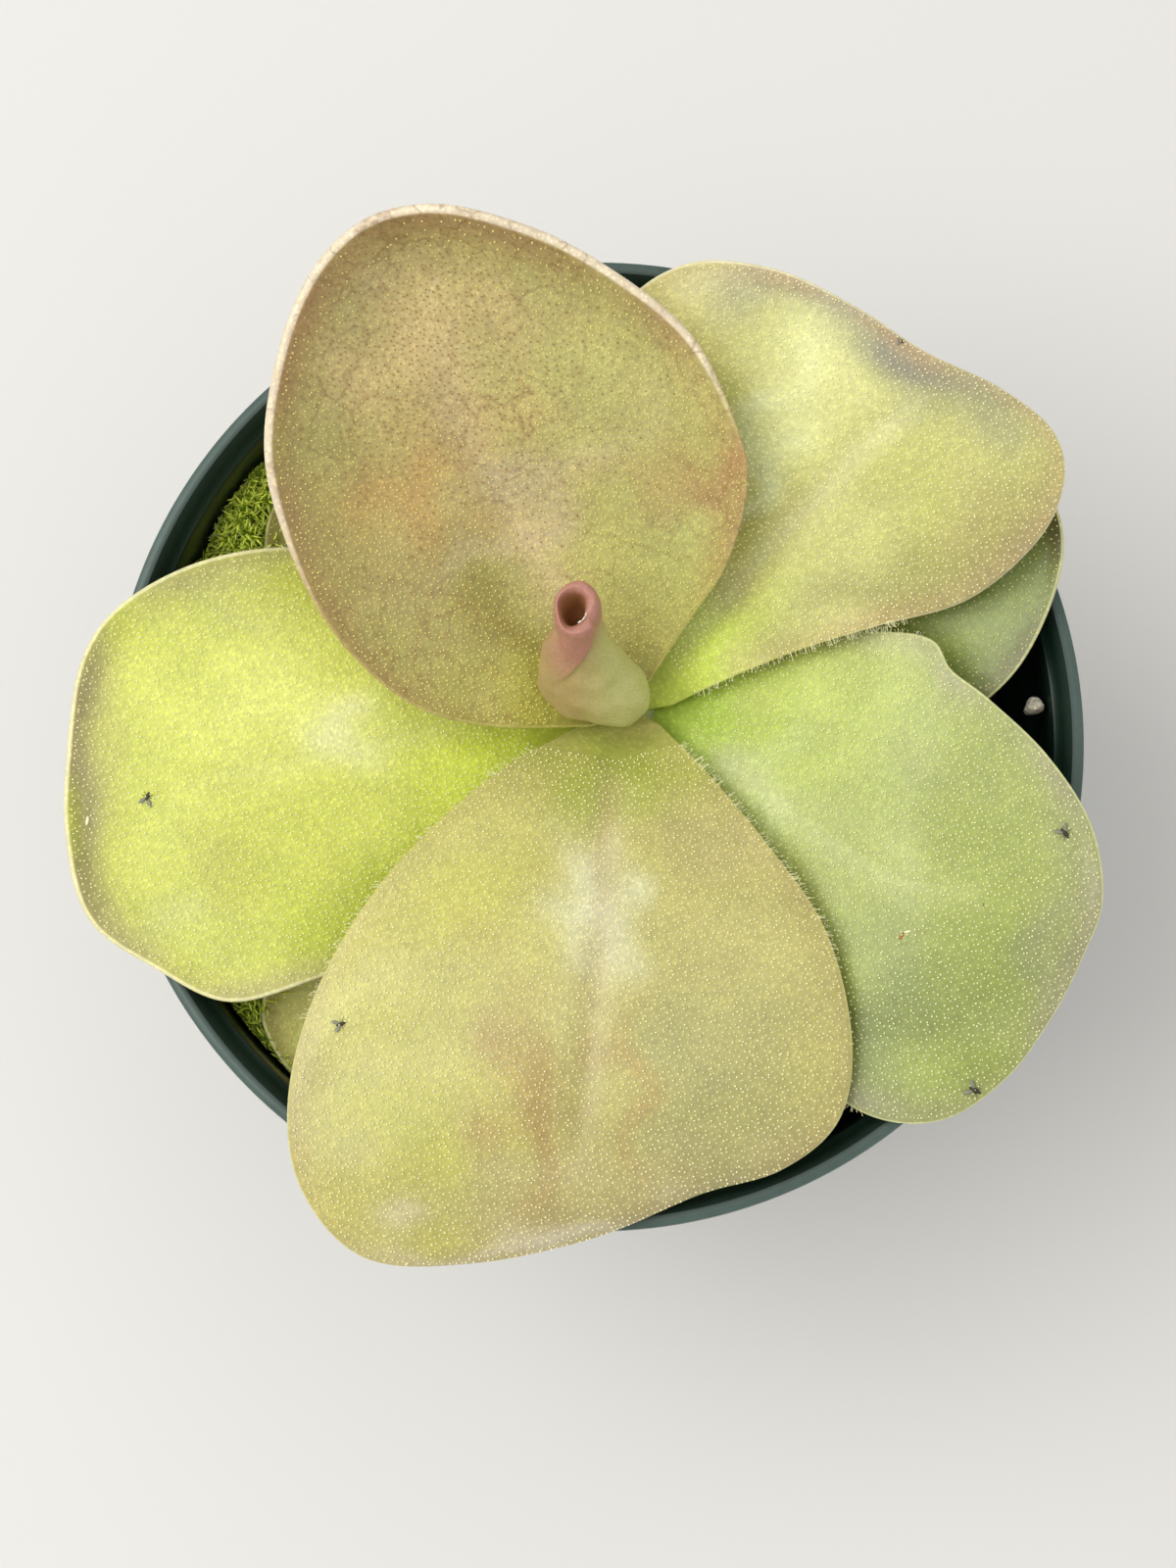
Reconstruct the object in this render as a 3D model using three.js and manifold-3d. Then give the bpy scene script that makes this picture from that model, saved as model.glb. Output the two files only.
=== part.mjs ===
// A butterwort in a thin green nursery pot: a rosette of broad fleshy leaves on a short crown, rooted in
// potting mix with moss and perlite. Millimetres, +Z up. The origin is the centre of the pot's underside.
import * as THREE from "three";
import { mergeVertices } from "three/addons/utils/BufferGeometryUtils.js";
import Module from "manifold-3d";

const wasm = await Module();
wasm.setup();

// ---- Driving dimensions ----
const POT_HEIGHT = 70;
const RIM_RADIUS = 40;
const BASE_RADIUS = 27.5;
const WALL = 1;
const FLOOR = 1.4;
const COLLAR_BOTTOM = 60;
const COLLAR_STEP = 1.1;
const LIP_DEPTH = 2.4;
const LIP_OVERHANG = 1;
const LEDGE_WIDTH = 2.2;
const ROUND_SEGMENTS = 48;
const SLOT_COUNT = 6;
const SLOT_WIDTH = 8;
const SLOT_HEIGHT = 3.5;
const GAP = 0.4;
const SOIL_EDGE = 55;
const SOIL_CROWN = 57.5;
const MOSS_BASE = SOIL_EDGE + 1.1;
const CROWN_AT = new THREE.Vector2(2.6, 3.3);
const CROWN_TOP = 63.2;
const ROOT_DEPTH = 14;
const LEAF_ROWS = 14;
const LEAF_COLUMNS = 5;

// ---- Colours and finishes ----
const finish = (color, roughness) => new THREE.MeshStandardMaterial({ color, roughness, metalness: 0 });
const POT_PLASTIC = finish(0x16302a, 0.35);
const SOIL_MIX = finish(0x2a211b, 0.95);
const CROWN_TISSUE = finish(0xa9b765, 0.5);
const MOSS_GREEN = finish(0x5f8a1e, 0.9);
const PERLITE_WHITE = finish(0xd9d3c0, 0.85);
const LEAF_LIME = finish(0xc8d85c, 0.4);
const LEAF_BLUSH = finish(0xbfae66, 0.4);
const LEAF_SHADED = finish(0x9aaa58, 0.4);
const LEAF_YOUNG = finish(0xb9a26e, 0.45);

const group = new THREE.Group();

/** Adds one named piece to the group. */
function addPiece(name, geometry, material) {
  const mesh = new THREE.Mesh(geometry, material);
  mesh.name = name;
  group.add(mesh);
}

/** A closed geometry from a list of corners and a list of triangles, with shared corners merged. */
function closedGeometry(corners, triangles) {
  const geometry = new THREE.BufferGeometry();
  geometry.setAttribute("position", new THREE.Float32BufferAttribute(corners.flat(), 3));
  geometry.setIndex(triangles.flat());
  return mergeVertices(geometry, 1e-4);
}

/** The manifold-3d solid of a closed geometry. */
function solidOf(geometry) {
  const bare = geometry.clone();
  bare.deleteAttribute("normal");
  bare.deleteAttribute("uv");
  const merged = mergeVertices(bare, 1e-4);
  return new wasm.Manifold(
    new wasm.Mesh({
      numProp: 3,
      vertProperties: merged.attributes.position.array,
      triVerts: new Uint32Array(merged.index.array),
    }),
  );
}

/** The three.js geometry of a manifold-3d solid. */
function geometryOf(solid) {
  const mesh = solid.getMesh();
  const geometry = new THREE.BufferGeometry();
  geometry.setAttribute("position", new THREE.BufferAttribute(mesh.vertProperties, 3));
  geometry.setIndex(new THREE.BufferAttribute(mesh.triVerts, 1));
  return geometry;
}

/** A turned solid about +Z from [radius, height] pairs that start and end on the axis. */
function turned(profile, segments) {
  const points = profile.map(([radius, height]) => new THREE.Vector2(radius, height));
  return new THREE.LatheGeometry(points, segments).rotateX(Math.PI / 2);
}

/** Radius of the tapered wall's outside at a height below the collar. */
function wallRadius(height) {
  const top = RIM_RADIUS - LIP_OVERHANG - COLLAR_STEP;
  return BASE_RADIUS + ((top - BASE_RADIUS) * height) / COLLAR_BOTTOM;
}

// ---- Pot: tapered wall, stepped collar, rolled lip with an inner ledge, drain slots round the foot ----
function potGeometry() {
  const collar = RIM_RADIUS - LIP_OVERHANG;
  const ledge = RIM_RADIUS - LEDGE_WIDTH;
  const profile = [
    [0, 0],
    [BASE_RADIUS - 0.8, 0],
    [BASE_RADIUS, 0.8],
    [wallRadius(COLLAR_BOTTOM), COLLAR_BOTTOM],
    [collar, COLLAR_BOTTOM + 0.5],
    [collar, POT_HEIGHT - LIP_DEPTH],
    [RIM_RADIUS, POT_HEIGHT - LIP_DEPTH + 0.3],
    [RIM_RADIUS, POT_HEIGHT - 0.4],
    [RIM_RADIUS - 0.3, POT_HEIGHT],
    [RIM_RADIUS - 0.9, POT_HEIGHT],
    [RIM_RADIUS - 1.3, POT_HEIGHT - 0.5],
    [ledge, POT_HEIGHT - 1.6],
    [ledge - 0.3, COLLAR_BOTTOM + 0.2],
    [wallRadius(COLLAR_BOTTOM) - WALL, COLLAR_BOTTOM - 1],
    [wallRadius(FLOOR) - WALL, FLOOR],
    [0, FLOOR],
  ];
  let solid = solidOf(turned(profile, ROUND_SEGMENTS));
  for (let i = 0; i < SLOT_COUNT; i++) {
    const slot = new THREE.BoxGeometry(SLOT_WIDTH, SLOT_WIDTH, 2 * SLOT_HEIGHT);
    slot.translate(BASE_RADIUS, 0, 0).rotateZ((2 * Math.PI * (i + 0.5)) / SLOT_COUNT);
    solid = solid.subtract(solidOf(slot));
  }
  return geometryOf(solid);
}

// ---- Potting mix: fills the pot to just under the collar, with a socket for the roots ----
function rootRadius(height) {
  const share = (height - (SOIL_CROWN - ROOT_DEPTH)) / ROOT_DEPTH;
  return 1.6 + 3 * share;
}

function soilGeometry() {
  const side = (height) => wallRadius(height) - WALL - GAP;
  const rings = 32;
  const profile = [
    [0, FLOOR + GAP],
    [side(FLOOR) - 0.5, FLOOR + GAP],
    [side(SOIL_EDGE), SOIL_EDGE],
    [side(SOIL_EDGE) * 0.6, SOIL_EDGE + 0.8],
    [rootRadius(SOIL_CROWN) + 4, SOIL_CROWN - 0.6],
    [0, SOIL_CROWN],
  ];
  const socket = turned(
    [
      [0, SOIL_CROWN - ROOT_DEPTH - GAP],
      [rootRadius(SOIL_CROWN - ROOT_DEPTH) + GAP, SOIL_CROWN - ROOT_DEPTH - GAP],
      [rootRadius(SOIL_CROWN) + GAP, SOIL_CROWN],
      [rootRadius(SOIL_CROWN) + GAP, SOIL_CROWN + 2],
      [0, SOIL_CROWN + 2],
    ],
    20,
  ).translate(CROWN_AT.x, CROWN_AT.y, 0);
  return geometryOf(solidOf(turned(profile, rings)).subtract(solidOf(socket)));
}

// ---- Crown: the short stem that carries the leaves, with the tapering mass of roots below it ----
function crownGeometry() {
  const profile = [
    [0, SOIL_CROWN - ROOT_DEPTH],
    [rootRadius(SOIL_CROWN - ROOT_DEPTH), SOIL_CROWN - ROOT_DEPTH],
    [rootRadius(SOIL_CROWN), SOIL_CROWN],
    [3.8, SOIL_CROWN + 1],
    [2.6, SOIL_CROWN + 3],
    [1.9, CROWN_TOP - 1],
    [1, CROWN_TOP],
    [0, CROWN_TOP],
  ];
  return turned(profile, 16).translate(CROWN_AT.x, CROWN_AT.y, 0);
}

/**
 * A leaf blade. The margin runs from the base's left corner round the tip, its middle point, to the right
 * corner. The spine runs from the base to a point inside the tip. Each row goes straight out from the spine
 * to the margin in plan, and its height leaves the spine level and rises with the square of the way out,
 * with a share of it, the lip, held back for the last stretch.
 */
function leafGeometry({ margin, spine, lip = 0.25, thickness = 0.8 }) {
  const marginCurve = smoothCurve(margin);
  const spineCurve = smoothCurve(spine);
  const corners = [];
  const columns = 2 * LEAF_COLUMNS + 1;
  for (let row = 0; row <= LEAF_ROWS; row++) {
    const along = row / LEAF_ROWS;
    const middle = spineCurve.getPoint(1 - (1 - along) ** 1.5);
    for (let column = -LEAF_COLUMNS; column <= LEAF_COLUMNS; column++) {
      const out = Math.abs(column) / LEAF_COLUMNS;
      const edge = marginCurve.getPoint(column < 0 ? along / 2 : 1 - along / 2);
      const rise = (1 - lip) * out ** 2 + lip * out ** 8;
      corners.push([
        THREE.MathUtils.lerp(middle.x, edge.x, out),
        THREE.MathUtils.lerp(middle.y, edge.y, out),
        THREE.MathUtils.lerp(middle.z, edge.z, rise),
      ]);
    }
  }
  return slab(corners, LEAF_ROWS + 1, columns, thickness);
}

/** An even Catmull-Rom curve through [x, y, z] points. */
function smoothCurve(points) {
  return new THREE.CatmullRomCurve3(
    points.map((point) => new THREE.Vector3(...point)),
    false,
    "catmullrom",
    0.5,
  );
}

/**
 * A closed slab from a grid of corners, given row by row from left to right, and its copy below. The last
 * row folds back on itself at the tip, so only its own seam is left out of the edge.
 */
function slab(top, rows, columns, thickness) {
  const corners = [...top, ...top.map(([x, y, z]) => [x, y, z - thickness])];
  const under = top.length;
  const triangles = [];
  const quad = (a, b, c, d) => triangles.push([a, b, c], [a, c, d]);
  const at = (row, column) => row * columns + column;
  for (let row = 0; row < rows - 1; row++) {
    for (let column = 0; column < columns - 1; column++) {
      const [a, b] = [at(row, column), at(row, column + 1)];
      const [c, d] = [at(row + 1, column + 1), at(row + 1, column)];
      quad(a, b, c, d);
      quad(under + a, under + d, under + c, under + b);
    }
    const [left, leftNext] = [at(row, 0), at(row + 1, 0)];
    const [right, rightNext] = [at(row, columns - 1), at(row + 1, columns - 1)];
    quad(left, leftNext, under + leftNext, under + left);
    quad(right, under + right, under + rightNext, rightNext);
  }
  for (let column = 0; column < columns - 1; column++) {
    const [a, b] = [at(0, column), at(0, column + 1)];
    quad(a, under + a, under + b, b);
  }
  return closedGeometry(corners, triangles);
}

/**
 * The young leaf, still rolled: a leaning cone of tilted oval rings, from the foot up the outside, over the
 * lip and down inside the mouth to its bottom. A ring is [x, y, z, half-length, half-width].
 */
function curlGeometry({ rings, turn, tip }) {
  const spokes = 26;
  const corners = [];
  for (const [x, y, z, long, short] of rings) {
    for (let spoke = 0; spoke < spokes; spoke++) {
      const angle = (2 * Math.PI * spoke) / spokes;
      const [along, beside] = [long * Math.cos(angle), short * Math.sin(angle)];
      const [dx, dy] = [
        along * Math.cos(turn) - beside * Math.sin(turn),
        along * Math.sin(turn) + beside * Math.cos(turn),
      ];
      corners.push([x + dx, y + dy, z + tip * dy]);
    }
  }
  const [foot, bottom] = [corners.length, corners.length + 1];
  corners.push(rings[0].slice(0, 3), rings.at(-1).slice(0, 3));
  const triangles = [];
  for (let spoke = 0; spoke < spokes; spoke++) {
    const next = (spoke + 1) % spokes;
    triangles.push([foot, next, spoke]);
    for (let ring = 0; ring < rings.length - 1; ring++) {
      const [a, b] = [ring * spokes + spoke, ring * spokes + next];
      triangles.push([a, b, b + spokes], [a, b + spokes, a + spokes]);
    }
    const last = (rings.length - 1) * spokes;
    triangles.push([bottom, last + spoke, last + next]);
  }
  return closedGeometry(corners, triangles);
}

/** A low uneven cushion of moss with a flat underside: rings that sink towards an oval edge. */
function mossGeometry({ at, radii, turn, base, height }) {
  const rings = 5;
  const spokes = 18;
  const corners = [[0, 0, height]];
  for (let ring = 1; ring <= rings; ring++) {
    const out = ring / rings;
    for (let spoke = 0; spoke < spokes; spoke++) {
      const angle = (2 * Math.PI * spoke) / spokes;
      const ripple = 1 + 0.1 * Math.sin(3 * angle + 1) + 0.06 * Math.cos(5 * angle);
      const top = height * Math.sqrt(1 - 0.96 * out ** 2) * (1 + 0.12 * Math.sin(4 * angle + 3 * out));
      corners.push([
        radii[0] * out * ripple * Math.cos(angle),
        radii[1] * out * ripple * Math.sin(angle),
        top,
      ]);
    }
  }
  const edge = corners.length - spokes;
  for (let spoke = 0; spoke < spokes; spoke++) {
    const [x, y] = corners[edge + spoke];
    corners.push([x, y, 0]);
  }
  const floor = corners.length;
  corners.push([0, 0, 0]);
  const triangles = [];
  for (let spoke = 0; spoke < spokes; spoke++) {
    const next = (spoke + 1) % spokes;
    triangles.push([0, 1 + spoke, 1 + next]);
    for (let ring = 0; ring < rings; ring++) {
      const [a, b] = [1 + ring * spokes + spoke, 1 + ring * spokes + next];
      triangles.push([a, a + spokes, b + spokes], [a, b + spokes, b]);
    }
    triangles.push([floor, floor - spokes + next, floor - spokes + spoke]);
  }
  return closedGeometry(corners, triangles).rotateZ(turn).translate(at[0], at[1], base);
}

/** A puffed perlite grain: an icosahedron pushed in and out, no two alike. */
function grainGeometry({ at, size, seed }) {
  const geometry = new THREE.IcosahedronGeometry(1, 1);
  geometry.deleteAttribute("normal");
  geometry.deleteAttribute("uv");
  const merged = mergeVertices(geometry, 1e-4);
  const position = merged.attributes.position;
  for (let i = 0; i < position.count; i++) {
    const [x, y, z] = [position.getX(i), position.getY(i), position.getZ(i)];
    const broad = 0.16 * Math.sin(3 * x + seed) * Math.cos(4 * y - seed);
    const fine = 0.08 * Math.sin(5 * z + 2 * seed);
    const swell = 1 + broad + fine;
    position.setXYZ(i, x * swell * size[0], y * swell * size[1], z * swell * size[2]);
  }
  return merged.rotateZ(seed).translate(...at);
}

// ---- Leaves, youngest last: [x, y, z] of the spine, and of the margin, whose tip has its own line ----
const LEAVES = [
  {
    name: "upper_left_leaf",
    material: LEAF_SHADED,
    margin: [
      [-3, 4.5, 60], [-9, 5.5, 60.5], [-15.5, 8, 61.3],
      [-22.5, 10.5, 62.3], [-27, 13.5, 63.2], [-28, 17, 63.6],
      [-27, 21, 63.8],
      [-23, 24, 63.6], [-18, 24, 63], [-13, 20, 62],
      [-8, 15, 61.2], [-4, 10.5, 60.5], [-1, 6.5, 60],
    ],
    spine: [[-2.5, 5, 59.5], [-7.5, 8.5, 59.9], [-13, 12, 60.6], [-18, 15, 61.4], [-22.5, 18, 62.2]],
  },
  {
    name: "lower_left_leaf",
    material: LEAF_SHADED,
    margin: [
      [-0.5, -2, 60.5], [-4, -9.5, 61], [-9, -18.5, 61.5],
      [-14.5, -26, 62.5], [-21, -29.5, 63.5], [-25, -27.5, 64],
      [-27.5, -23.5, 64],
      [-27.5, -20.5, 63.8], [-26, -16.5, 63.2], [-22, -11.5, 62.2],
      [-15.5, -5.5, 61.2], [-9, -2, 60.5], [-3, 1, 60],
    ],
    spine: [
      [-2.5, -0.5, 59.5], [-7.5, -6, 59.8], [-12.5, -12.5, 60.5], [-17, -17.8, 61.3], [-21.5, -20.6, 62.2],
    ],
  },
  {
    name: "small_right_leaf",
    material: LEAF_SHADED,
    margin: [
      [7.5, 8, 61], [14.5, 13.5, 64], [20.5, 19.5, 67.5],
      [28, 23, 71.2], [34, 23, 73], [37, 19.5, 73.2],
      [38, 15, 73],
      [36.5, 9.5, 72.6], [33.5, 4.5, 71.2], [28.5, 1, 69],
      [22, 0, 66.5], [15, 1, 63.5], [8, 3, 61],
    ],
    spine: [[7.5, 5.5, 60.5], [14.5, 7.5, 63], [21.5, 10, 66.5], [27.5, 12.5, 70], [32, 14, 72]],
  },
  {
    name: "rear_under_leaf",
    material: LEAF_SHADED,
    margin: [
      [0.2, 7.2, 61.5], [-3, 13, 62.5], [-7, 20, 64],
      [-8.5, 27.5, 65.5], [-7, 34, 67], [-4, 37, 68],
      [0, 37, 68.5],
      [3.5, 35, 68.5], [5.5, 29.5, 67.5], [6, 23, 66],
      [5.5, 17, 64.2], [5, 11.5, 62.5], [3.5, 7.4, 61.5],
    ],
    spine: [[2, 7, 61], [1, 12, 61.8], [0, 18.5, 63], [-1, 25, 64.3], [-1, 30.5, 65.8]],
  },
  {
    name: "right_leaf",
    material: LEAF_LIME,
    margin: [
      [7, 5, 63.5], [12.5, 6.6, 65.8], [18, 8.6, 69], [23.3, 8.4, 72.3], [27, 7.5, 74],
      [28.5, 5, 74.5], [31.5, 2.5, 75], [36, -2, 75.3], [39.5, -7.5, 75],
      [40.5, -13.5, 74.3],
      [38.9, -18.2, 73.7], [36.6, -22.7, 73.1], [33, -27.6, 72.6], [28, -31, 72], [22.5, -30.9, 71.6],
      [17.5, -27.6, 71], [13.6, -22.5, 70.1], [9.8, -13, 68.2], [5.5, -1, 63.5],
    ],
    spine: [[5.5, 3, 63], [12.5, -3, 67.5], [19, -8.5, 71.5], [25, -12.3, 74], [31, -13.2, 74.6]],
  },
  {
    name: "left_leaf",
    material: LEAF_LIME,
    lip: 0.45,
    margin: [
      [-3.5, -0.5, 62.8], [-7, -5.5, 64.5], [-12.5, -12.5, 67], [-18, -17.5, 69.5],
      [-23.5, -20, 71.5], [-29.5, -21.5, 72], [-35, -19, 72.3], [-40.5, -15, 72.8],
      [-42.5, -8, 73.2],
      [-42.5, -1, 73], [-41.5, 6, 73], [-38.5, 10.5, 73], [-32.5, 14, 72.6],
      [-25.5, 15.5, 71.5], [-18.5, 15, 69.5], [-11.5, 11.5, 66.5], [-4, 6, 63],
    ],
    spine: [[-3, 3, 62.5], [-11.5, 1, 65.5], [-20, -1, 68.3], [-29.5, -3, 70.3], [-36.5, -4.5, 71]],
  },
  {
    name: "back_right_leaf",
    material: LEAF_LIME,
    margin: [
      [2.5, 7.5, 64.5], [2.5, 16, 69], [1.7, 25, 73], [1.9, 33.3, 76.5],
      [7, 37.1, 78.5], [14, 36.5, 79.5], [20.5, 33.5, 79.5], [26, 30, 79.3],
      [32, 27, 79.2],
      [36.5, 23.5, 78.5], [37.5, 19.5, 77.5], [35.5, 15, 76], [30, 10.5, 74.5],
      [22.5, 8.5, 73.5], [16.5, 7, 71], [10.5, 5, 67.5], [6.5, 3.5, 64.5],
    ],
    spine: [[4.5, 5, 64], [10.5, 11, 69], [17, 18, 74.5], [22, 23.5, 78.3], [26.5, 25.5, 79.5]],
  },
  {
    name: "front_leaf",
    material: LEAF_BLUSH,
    margin: [
      [5.5, 1.5, 65.5], [9, -2.5, 69], [14, -9, 72], [18.5, -16, 73.5],
      [20.5, -24.5, 73.5], [19.5, -31, 72.8], [15, -35, 71.8], [8.5, -37, 71.2],
      [0, -40.5, 71.2],
      [-10, -42.5, 71.2], [-18.5, -42, 71.5], [-23.5, -36.5, 72.6], [-24.5, -29, 73.2],
      [-22, -20, 73.2], [-16.5, -11, 72], [-8.5, -3, 69], [-1.5, 1.5, 65.5],
    ],
    spine: [[2, 1, 65], [1, -6.5, 70.5], [0.5, -15, 74.3], [-0.5, -24.5, 75.3], [-1.5, -34, 74.3]],
  },
  {
    name: "back_leaf",
    material: LEAF_BLUSH,
    lip: 0.3,
    margin: [
      [-0.5, 1.5, 66.5], [-8.5, 1, 71], [-15, 2.5, 74], [-21, 8, 77],
      [-24.5, 15.5, 80], [-25.5, 22.5, 83], [-23, 31.5, 86.5], [-18.5, 37, 88.5],
      [-12.5, 38.5, 89.5],
      [-5.5, 37, 89], [0.5, 34.5, 87], [7, 30, 84.5], [10.5, 24.5, 82],
      [12, 19.5, 79.5], [10.5, 13.5, 76], [7.5, 9.5, 71], [4.5, 5.5, 66.5],
    ],
    spine: [[2.5, 4, 65.5], [-1.5, 9.5, 68.5], [-6, 17, 72], [-11, 25.5, 76.5], [-12.5, 34, 82]],
  },
];

const CURL = {
  turn: -0.24,
  tip: 0.2,
  rings: [
    [0.5, 3.5, 67.4, 2, 1.3], [0.3, 3.8, 68.4, 3.4, 2.1], [0.05, 4, 69.8, 4.3, 2.8],
    [-0.15, 4.2, 71.2, 4.6, 3.05], [-0.45, 4.8, 73, 4.15, 3], [-0.85, 5.8, 75, 3.3, 2.75],
    [-1, 6.8, 77, 2.5, 2.35], [-0.95, 7.8, 79, 1.75, 2.05], [-1.3, 8.7, 80.6, 1.85, 2.15],
    [-1.45, 9, 81.6, 1.6, 1.9], [-1.6, 8.9, 81.8, 1.25, 1.5], [-1.75, 8.75, 81.3, 1, 1.2],
    [-1.6, 8.4, 79.8, 0.75, 0.9], [-1.3, 7.8, 78, 0.5, 0.6],
  ],
};

const MOSS = [
  { name: "moss_upper_left", at: [-26, 17.8], radii: [4, 8.2], turn: -0.62, base: MOSS_BASE, height: 4.6 },
  { name: "moss_lower_left", at: [-25, -19], radii: [4, 8], turn: 0.66, base: MOSS_BASE, height: 4.4 },
];

const GRAINS = [
  { at: [36.3, 3, 67], size: [0.8, 0.8, 1.4], seed: 1 },
  { at: [29, -2, 57], size: [1.1, 0.9, 0.8], seed: 2.2 },
  { at: [16, -28, 57], size: [1, 1.2, 0.9], seed: 3.1 },
  { at: [24, 20, 57], size: [1.2, 0.9, 0.8], seed: 4.5 },
  { at: [-12, 28, 57], size: [0.9, 1.1, 0.8], seed: 5.4 },
  { at: [-6, -30, 57], size: [1.1, 0.9, 0.9], seed: 6.3 },
];

addPiece("pot", potGeometry(), POT_PLASTIC);
addPiece("potting_mix", soilGeometry(), SOIL_MIX);
addPiece("crown", crownGeometry(), CROWN_TISSUE);
for (const leaf of LEAVES) addPiece(leaf.name, leafGeometry(leaf), leaf.material);
addPiece("curled_leaf", curlGeometry(CURL), LEAF_YOUNG);
for (const moss of MOSS) addPiece(moss.name, mossGeometry(moss), MOSS_GREEN);
GRAINS.forEach((grain, i) => addPiece(`perlite_grain_${i + 1}`, grainGeometry(grain), PERLITE_WHITE));

export default group;
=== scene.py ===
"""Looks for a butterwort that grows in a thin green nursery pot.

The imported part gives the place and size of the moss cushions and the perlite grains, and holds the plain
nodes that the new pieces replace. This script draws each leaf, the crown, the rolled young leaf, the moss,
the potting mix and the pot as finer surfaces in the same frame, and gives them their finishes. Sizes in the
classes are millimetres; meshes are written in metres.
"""

import logging
from dataclasses import dataclass, field
from enum import Enum

import bpy
import numpy as np
from mathutils import Matrix, Vector


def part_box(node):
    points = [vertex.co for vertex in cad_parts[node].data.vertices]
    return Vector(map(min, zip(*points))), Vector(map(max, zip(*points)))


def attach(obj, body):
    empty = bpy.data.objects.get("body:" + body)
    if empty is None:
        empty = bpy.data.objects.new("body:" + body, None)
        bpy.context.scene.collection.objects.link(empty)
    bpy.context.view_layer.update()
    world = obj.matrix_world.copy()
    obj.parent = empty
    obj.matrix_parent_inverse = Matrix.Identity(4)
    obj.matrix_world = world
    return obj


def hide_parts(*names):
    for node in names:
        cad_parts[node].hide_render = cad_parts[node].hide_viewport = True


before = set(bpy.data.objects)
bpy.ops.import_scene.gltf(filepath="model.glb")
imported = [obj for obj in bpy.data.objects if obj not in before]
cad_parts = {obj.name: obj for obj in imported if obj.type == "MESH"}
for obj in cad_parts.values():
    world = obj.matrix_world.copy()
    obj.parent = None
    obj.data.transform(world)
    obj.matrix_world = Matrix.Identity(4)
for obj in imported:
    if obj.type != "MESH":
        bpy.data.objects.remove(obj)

MM = 0.001
TURN = 2 * np.pi
GOLDEN_ANGLE = 2.39996
CROWN_AT = (2.6, 3.3)
Point = tuple[float, float, float]
log = logging.getLogger("butterwort")


# ---------------------------------------------------------------- numbers and curves


def linear(colour: str) -> np.ndarray:
    """Turns a written colour into linear light, by the usual screen curve.

    Args:
        colour: six hexadecimal digits, red first.

    Returns:
        Three numbers from 0 to 1.
    """
    shown = np.array([int(colour[i : i + 2], 16) for i in (0, 2, 4)]) / 255
    return np.where(shown <= 0.04045, shown / 12.92, ((shown + 0.055) / 1.055) ** 2.4)


def curve_at(points: np.ndarray, share: np.ndarray) -> np.ndarray:
    """Follows an even Catmull-Rom curve: each span is the cubic through its two ends, with half the step
    between each end's neighbours as its slope there. The end spans use a neighbour mirrored through the end.

    Args:
        points: (n, 3) points of the curve.
        share: any array of places along it, from 0 to 1.

    Returns:
        The points there, in the shape of share with a last axis of 3.
    """
    ends = np.vstack([2 * points[0] - points[1], points, 2 * points[-1] - points[-2]])
    place = np.clip(share, 0, 1) * (len(points) - 1)
    span = np.minimum(place.astype(int), len(points) - 2)
    t = (place - span)[..., None]
    before, start, end, after = (ends[span + i] for i in range(4))
    slope, next_slope = (end - before) / 2, (after - start) / 2
    return (
        (2 * t**3 - 3 * t**2 + 1) * start
        + (t**3 - 2 * t**2 + t) * slope
        + (3 * t**2 - 2 * t**3) * end
        + (t**3 - t**2) * next_slope
    )


def unit(vectors: np.ndarray) -> np.ndarray:
    """Scales each vector to length 1."""
    return vectors / np.maximum(np.linalg.norm(vectors, axis=-1, keepdims=True), 1e-12)


def ripple(points: np.ndarray, size: float, seed: int, waves: int = 7) -> np.ndarray:
    """Smooth unevenness: the mean of a few sine waves that cross the space in random directions.

    Args:
        points: (..., 3) places in millimetres.
        size: length of the longest wave in millimetres; the shortest is about half of it.
        seed: picks the directions and starts of the waves.
        waves: how many waves are added.

    Returns:
        One number for each place, mostly from -1 to 1.
    """
    rng = np.random.default_rng(seed)
    ways = unit(rng.normal(size=(waves, 3))) * TURN / (size * rng.uniform(0.5, 1, (waves, 1)))
    return np.sin(points @ ways.T + rng.uniform(0, TURN, waves)).sum(-1) / np.sqrt(waves)


def smooth_step(low: float, high: float, value: np.ndarray) -> np.ndarray:
    """Rises from 0 at low to 1 at high, level at both ends."""
    t = np.clip((value - low) / (high - low), 0, 1)
    return t * t * (3 - 2 * t)


def mixed(under: np.ndarray, over: np.ndarray, cover: np.ndarray) -> np.ndarray:
    """Lays one value over another by a share from 0 to 1."""
    return under * (1 - cover) + over * cover


def frames_about(normals: np.ndarray, turns: np.ndarray) -> tuple[np.ndarray, np.ndarray]:
    """Two directions across each normal, turned about it.

    Args:
        normals: (n, 3) directions of length 1.
        turns: (n,) angles in radians.

    Returns:
        Two (n, 3) arrays, at right angles to the normals and to each other.
    """
    helper = np.where(np.abs(normals[:, 2:]) < 0.9, [[0.0, 0.0, 1.0]], [[1.0, 0.0, 0.0]])
    first = unit(np.cross(helper, normals))
    second = np.cross(normals, first)
    c, s = np.cos(turns)[:, None], np.sin(turns)[:, None]
    return first * c + second * s, second * c - first * s


def lies_inside(at: np.ndarray, outline: np.ndarray) -> np.ndarray:
    """Which places lie inside a closed outline in plan: those from which a ray towards +X crosses it an odd
    number of times.

    Args:
        at: (n, 3) places.
        outline: (m, 3) corners of the outline.

    Returns:
        (n,) true or false.
    """
    x, y = at[:, None, 0], at[:, None, 1]
    start, end = outline, np.roll(outline, -1, axis=0)
    crossed = (start[:, 1] > y) != (end[:, 1] > y)
    rise = end[:, 1] - start[:, 1]
    share = (y - start[:, 1]) / np.where(rise == 0, 1, rise)
    beyond = x < start[:, 0] + share * (end[:, 0] - start[:, 0])
    return (crossed & beyond).sum(axis=1) % 2 == 1


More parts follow.
